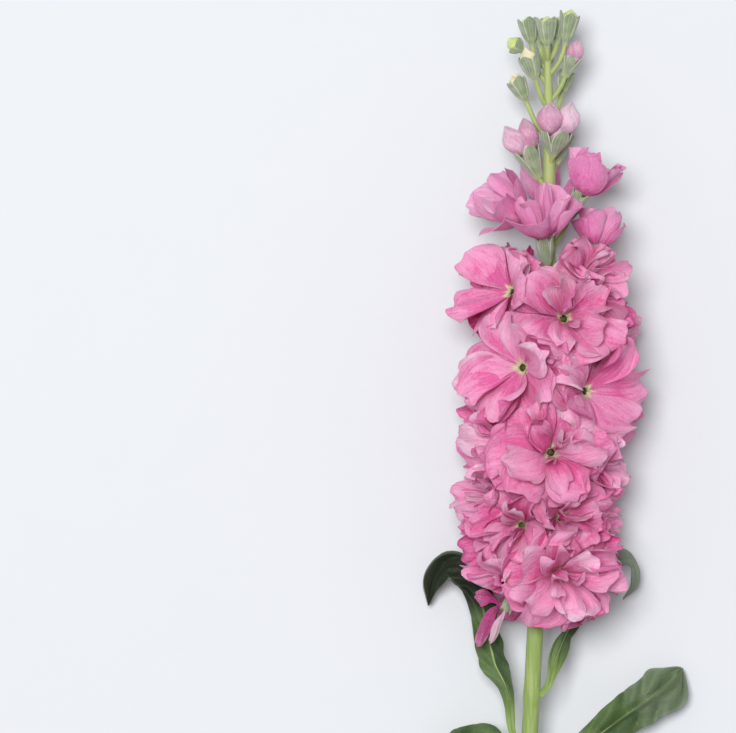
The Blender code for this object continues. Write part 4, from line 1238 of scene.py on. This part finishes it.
def leaf_material():
    """Leaf: dark green with a pale midrib, side veins, a lighter foot and a fine grey felt; painted shade darkens one
    half of the blade as the shaded side of a fold, and makes the far part of the arched leaf near black.
    """
    g = Graph("leaf_skin")
    u, v = g.uv("place")
    draw, end = g.uv("draw")
    from_middle = g.math("ABSOLUTE", g.math("SUBTRACT", u, 0.5))
    cloud = g.noise(55.0, 3.0)
    speck = g.noise(1400.0, 3.0, 0.65)
    colour = g.mix(g.between(cloud, 0.3, 0.70), (0.044, 0.092, 0.026, 1), (0.126, 0.192, 0.070, 1))
    swept = g.math("SUBTRACT", g.math("MULTIPLY", v, 46.0), g.math("MULTIPLY", from_middle, 22.0))
    side_veins = g.math("ABSOLUTE", g.math("SINE", g.math("ADD", swept, g.math("MULTIPLY", g.noise(160.0), 3.0))))
    side_veins = g.between(side_veins, 0.12, 0.0)
    colour = g.mix(g.math("MULTIPLY", side_veins, 0.03), colour, (0.24, 0.33, 0.15, 1))
    colour = g.mix(g.between(speck, 0.5, 0.85, 0.0, 0.40), colour, (0.26, 0.33, 0.20, 1))
    midrib = g.between(from_middle, 0.050, 0.015)
    colour = g.mix(g.math("MULTIPLY", midrib, g.between(v, 0.9, 0.3, 0.12, 0.85)), colour, (0.34, 0.46, 0.17, 1))
    colour = g.mix(g.between(v, 0.30, 0.04, 0.0, 0.9), colour, (0.27, 0.39, 0.11, 1))
    # Painted shade: on leaf_1 and leaf_2, and faintly on leaf_3, one half of the blade beside the midrib, from near the
    # foot on, is darkened as the shaded side of a lengthwise fold.
    folded = g.math("MULTIPLY", g.between(u, 0.50, 0.60), g.math("MULTIPLY", g.between(v, 0.12, 0.30), 0.62))
    folded = g.math("MULTIPLY", folded, g.between(g.math("ABSOLUTE", g.math("SUBTRACT", end, 0.5)), 0.2, 0.4))
    colour = g.mix(folded, colour, (0.028, 0.052, 0.020, 1))
    # Painted shadow: where a leaf's end value is 0 (leaf_1), the far part of the blade is made near black, the shade
    # that its arch lies in.
    dark = g.math("MULTIPLY", g.between(end, 0.3, 0.1), g.between(v, 0.50, 0.62, 0.0, 0.96))
    colour = g.mix(dark, colour, (0.010, 0.015, 0.007, 1))
    margin = g.math("MULTIPLY", g.between(from_middle, 0.40, 0.5), g.between(v, 0.60, 0.90, 0.0, 0.7))
    colour = g.mix(margin, colour, (0.23, 0.28, 0.20, 1))
    grey = g.math("MULTIPLY", g.between(end, 0.7, 0.9), g.between(v, 0.66, 0.76, 0.0, 0.9))
    colour = g.mix(grey, colour, (0.21, 0.25, 0.20, 1))
    g.feed(g.shader.inputs["Base Color"], colour)
    relief = g.bump(side_veins, 0.0002, -0.5)
    g.feed(g.shader.inputs["Normal"], g.bump(g.noise(260.0, 4.0), 0.0011, 0.6, relief))
    g.feed(g.shader.inputs["Roughness"], g.between(speck, 0.3, 0.8, 0.50, 0.72))
    g.shader.inputs["Specular IOR Level"].default_value = 0.25
    g.shader.inputs["Sheen Weight"].default_value = 0.05
    g.shader.inputs["Subsurface Weight"].default_value = 0.06
    g.shader.inputs["Subsurface Radius"].default_value = (0.5, 1.0, 0.25)
    g.shader.inputs["Subsurface Scale"].default_value = 0.001
    return g.made


def eye_material():
    g = Graph("flower_eye")
    # Near-black olive: the pistil's own olive, darkened as painted shade down the flower's throat.
    colour = g.mix(g.between(g.noise(900.0), 0.35, 0.7), (0.014, 0.011, 0.004, 1), (0.075, 0.070, 0.016, 1))
    g.feed(g.shader.inputs["Base Color"], colour)
    g.feed(g.shader.inputs["Normal"], g.bump(g.noise(2500.0), 0.0002, 0.5))
    g.shader.inputs["Roughness"].default_value = 0.6
    return g.made


def make_eyes(materials):
    """What shows between the claws at each flower's middle: a small olive cup with a blunt pistil, coloured near black
    as painted shade down the flower's throat.
    """
    sheets = Sheets()
    for place in PLACES:
        if place.flower.kind != "open":
            continue
        line = [place.mouth + height * MM * place.facing for height in (0.2, 0.9, 1.4, 1.6)]
        add_tube(sheets, line, np.array((1.6, 1.7, 1.1, 0.3)) * MM, 10, (0.5, 0.5))
    return sheets.piece("flower_eyes", [materials["eye"]], 0)


def make_stage():
    floor_mesh = bpy.data.meshes.new("floor")
    floor_mesh.from_pydata([(-4, -4, 0), (4, -4, 0), (4, 4, 0), (-4, 4, 0)], [], [(0, 1, 2, 3)])
    floor = bpy.data.objects.new("floor", floor_mesh)
    bpy.context.scene.collection.objects.link(floor)
    g = Graph("floor_paper")
    grain = g.noise(40.0, 2.0)
    g.feed(g.shader.inputs["Base Color"], g.mix(grain, (0.722, 0.750, 0.786, 1), (0.732, 0.760, 0.796, 1)))
    g.shader.inputs["Roughness"].default_value = 0.9
    g.shader.inputs["Specular IOR Level"].default_value = 0.1
    floor_mesh.materials.append(g.made)

    world = bpy.data.worlds.new("studio")
    bpy.context.scene.world = world
    world.use_nodes = True
    world.node_tree.nodes["Background"].inputs["Color"].default_value = (0.98, 0.975, 1.0, 1)
    world.node_tree.nodes["Background"].inputs["Strength"].default_value = 0.36

    def area(name, spot, target, size, power, colour):
        light = bpy.data.lights.new(name, "AREA")
        light.shape = "DISK"
        light.size = size
        light.energy = power
        light.color = colour
        obj = bpy.data.objects.new(name, light)
        bpy.context.scene.collection.objects.link(obj)
        obj.location = spot
        obj.rotation_euler = (Vector(target) - Vector(spot)).to_track_quat("-Z", "Y").to_euler()

    area("key", (-0.42, 0.48, 3.0), (0, 0.05, 0.03), 1.1, 80.5, (1.0, 0.995, 0.985))
    bpy.context.scene.view_settings.view_transform = "Standard"


PIXEL = 0.38 * MM
CAMERA_HEIGHT = 2.0
SHARP_HEIGHT = 0.040


def make_camera():
    camera = bpy.data.cameras.new("camera")
    camera.sensor_width = 36.0
    camera.lens = 36.0 * CAMERA_HEIGHT / (736 * PIXEL)
    camera.clip_end = 20
    obj = bpy.data.objects.new("camera", camera)
    bpy.context.scene.collection.objects.link(obj)
    obj.location = (SHIFT[0] + (368 - 540) * PIXEL, SHIFT[1] + (1196 - 366.5) * PIXEL, SHARP_HEIGHT + CAMERA_HEIGHT)
    bpy.context.scene.camera = obj


def main():
    claw = (0.80, 0.80, 0.44)
    materials = {
        "petal": petal_material("petal_skin", (0.62, 0.022, 0.180), (0.93, 0.250, 0.53), (0.98, 0.60, 0.80), claw, 0.17, 0.30),
        "petal_back": petal_material("petal_back_skin", (0.78, 0.13, 0.36), (0.92, 0.36, 0.59), (0.97, 0.67, 0.82), claw, 0.14, 0.35),
        "young_petal": petal_material("young_petal_skin", (0.79, 0.14, 0.41), (0.91, 0.33, 0.60), (0.97, 0.56, 0.77), claw, 0.13, 0.30),
        "young_petal_back": petal_material("young_back_skin", (0.82, 0.21, 0.49), (0.93, 0.40, 0.66), (0.98, 0.62, 0.81), claw, 0.10, 0.35),
        "bud_petal": petal_material("bud_skin", (0.70, 0.32, 0.49), (0.91, 0.60, 0.76), (0.96, 0.76, 0.87), (0.62, 0.70, 0.36), 0.30, 0.30),
        "withered_petal": petal_material("withered_skin", (0.40, 0.03, 0.17), (0.58, 0.11, 0.30), (0.86, 0.58, 0.68), (0.50, 0.50, 0.24), 0.14, 0.6),
        "withered_petal_back": petal_material("withered_back_skin", (0.52, 0.12, 0.29), (0.70, 0.30, 0.46), (0.85, 0.58, 0.68), (0.50, 0.50, 0.24), 0.14, 0.6),
        "stem": stem_material(),
        "cut_end": cut_end_material(),
        "felt": felt_material(),
        "young_bud": young_bud_material(),
        "leaf": leaf_material(),
        "eye": eye_material(),
    }
    for place in PLACES:
        if place.flower.kind in ("open", "opening"):
            make_bloom(place, materials)
        elif place.flower.kind == "withered":
            make_wilted(place, materials)
        elif place.flower.kind == "bud":
            make_pink_bud(place, materials)
    make_eyes(materials)
    make_stem_pieces(materials)
    for name in LEAVES:
        make_leaf_piece(name, materials)
    make_stage()
    make_camera()


main()
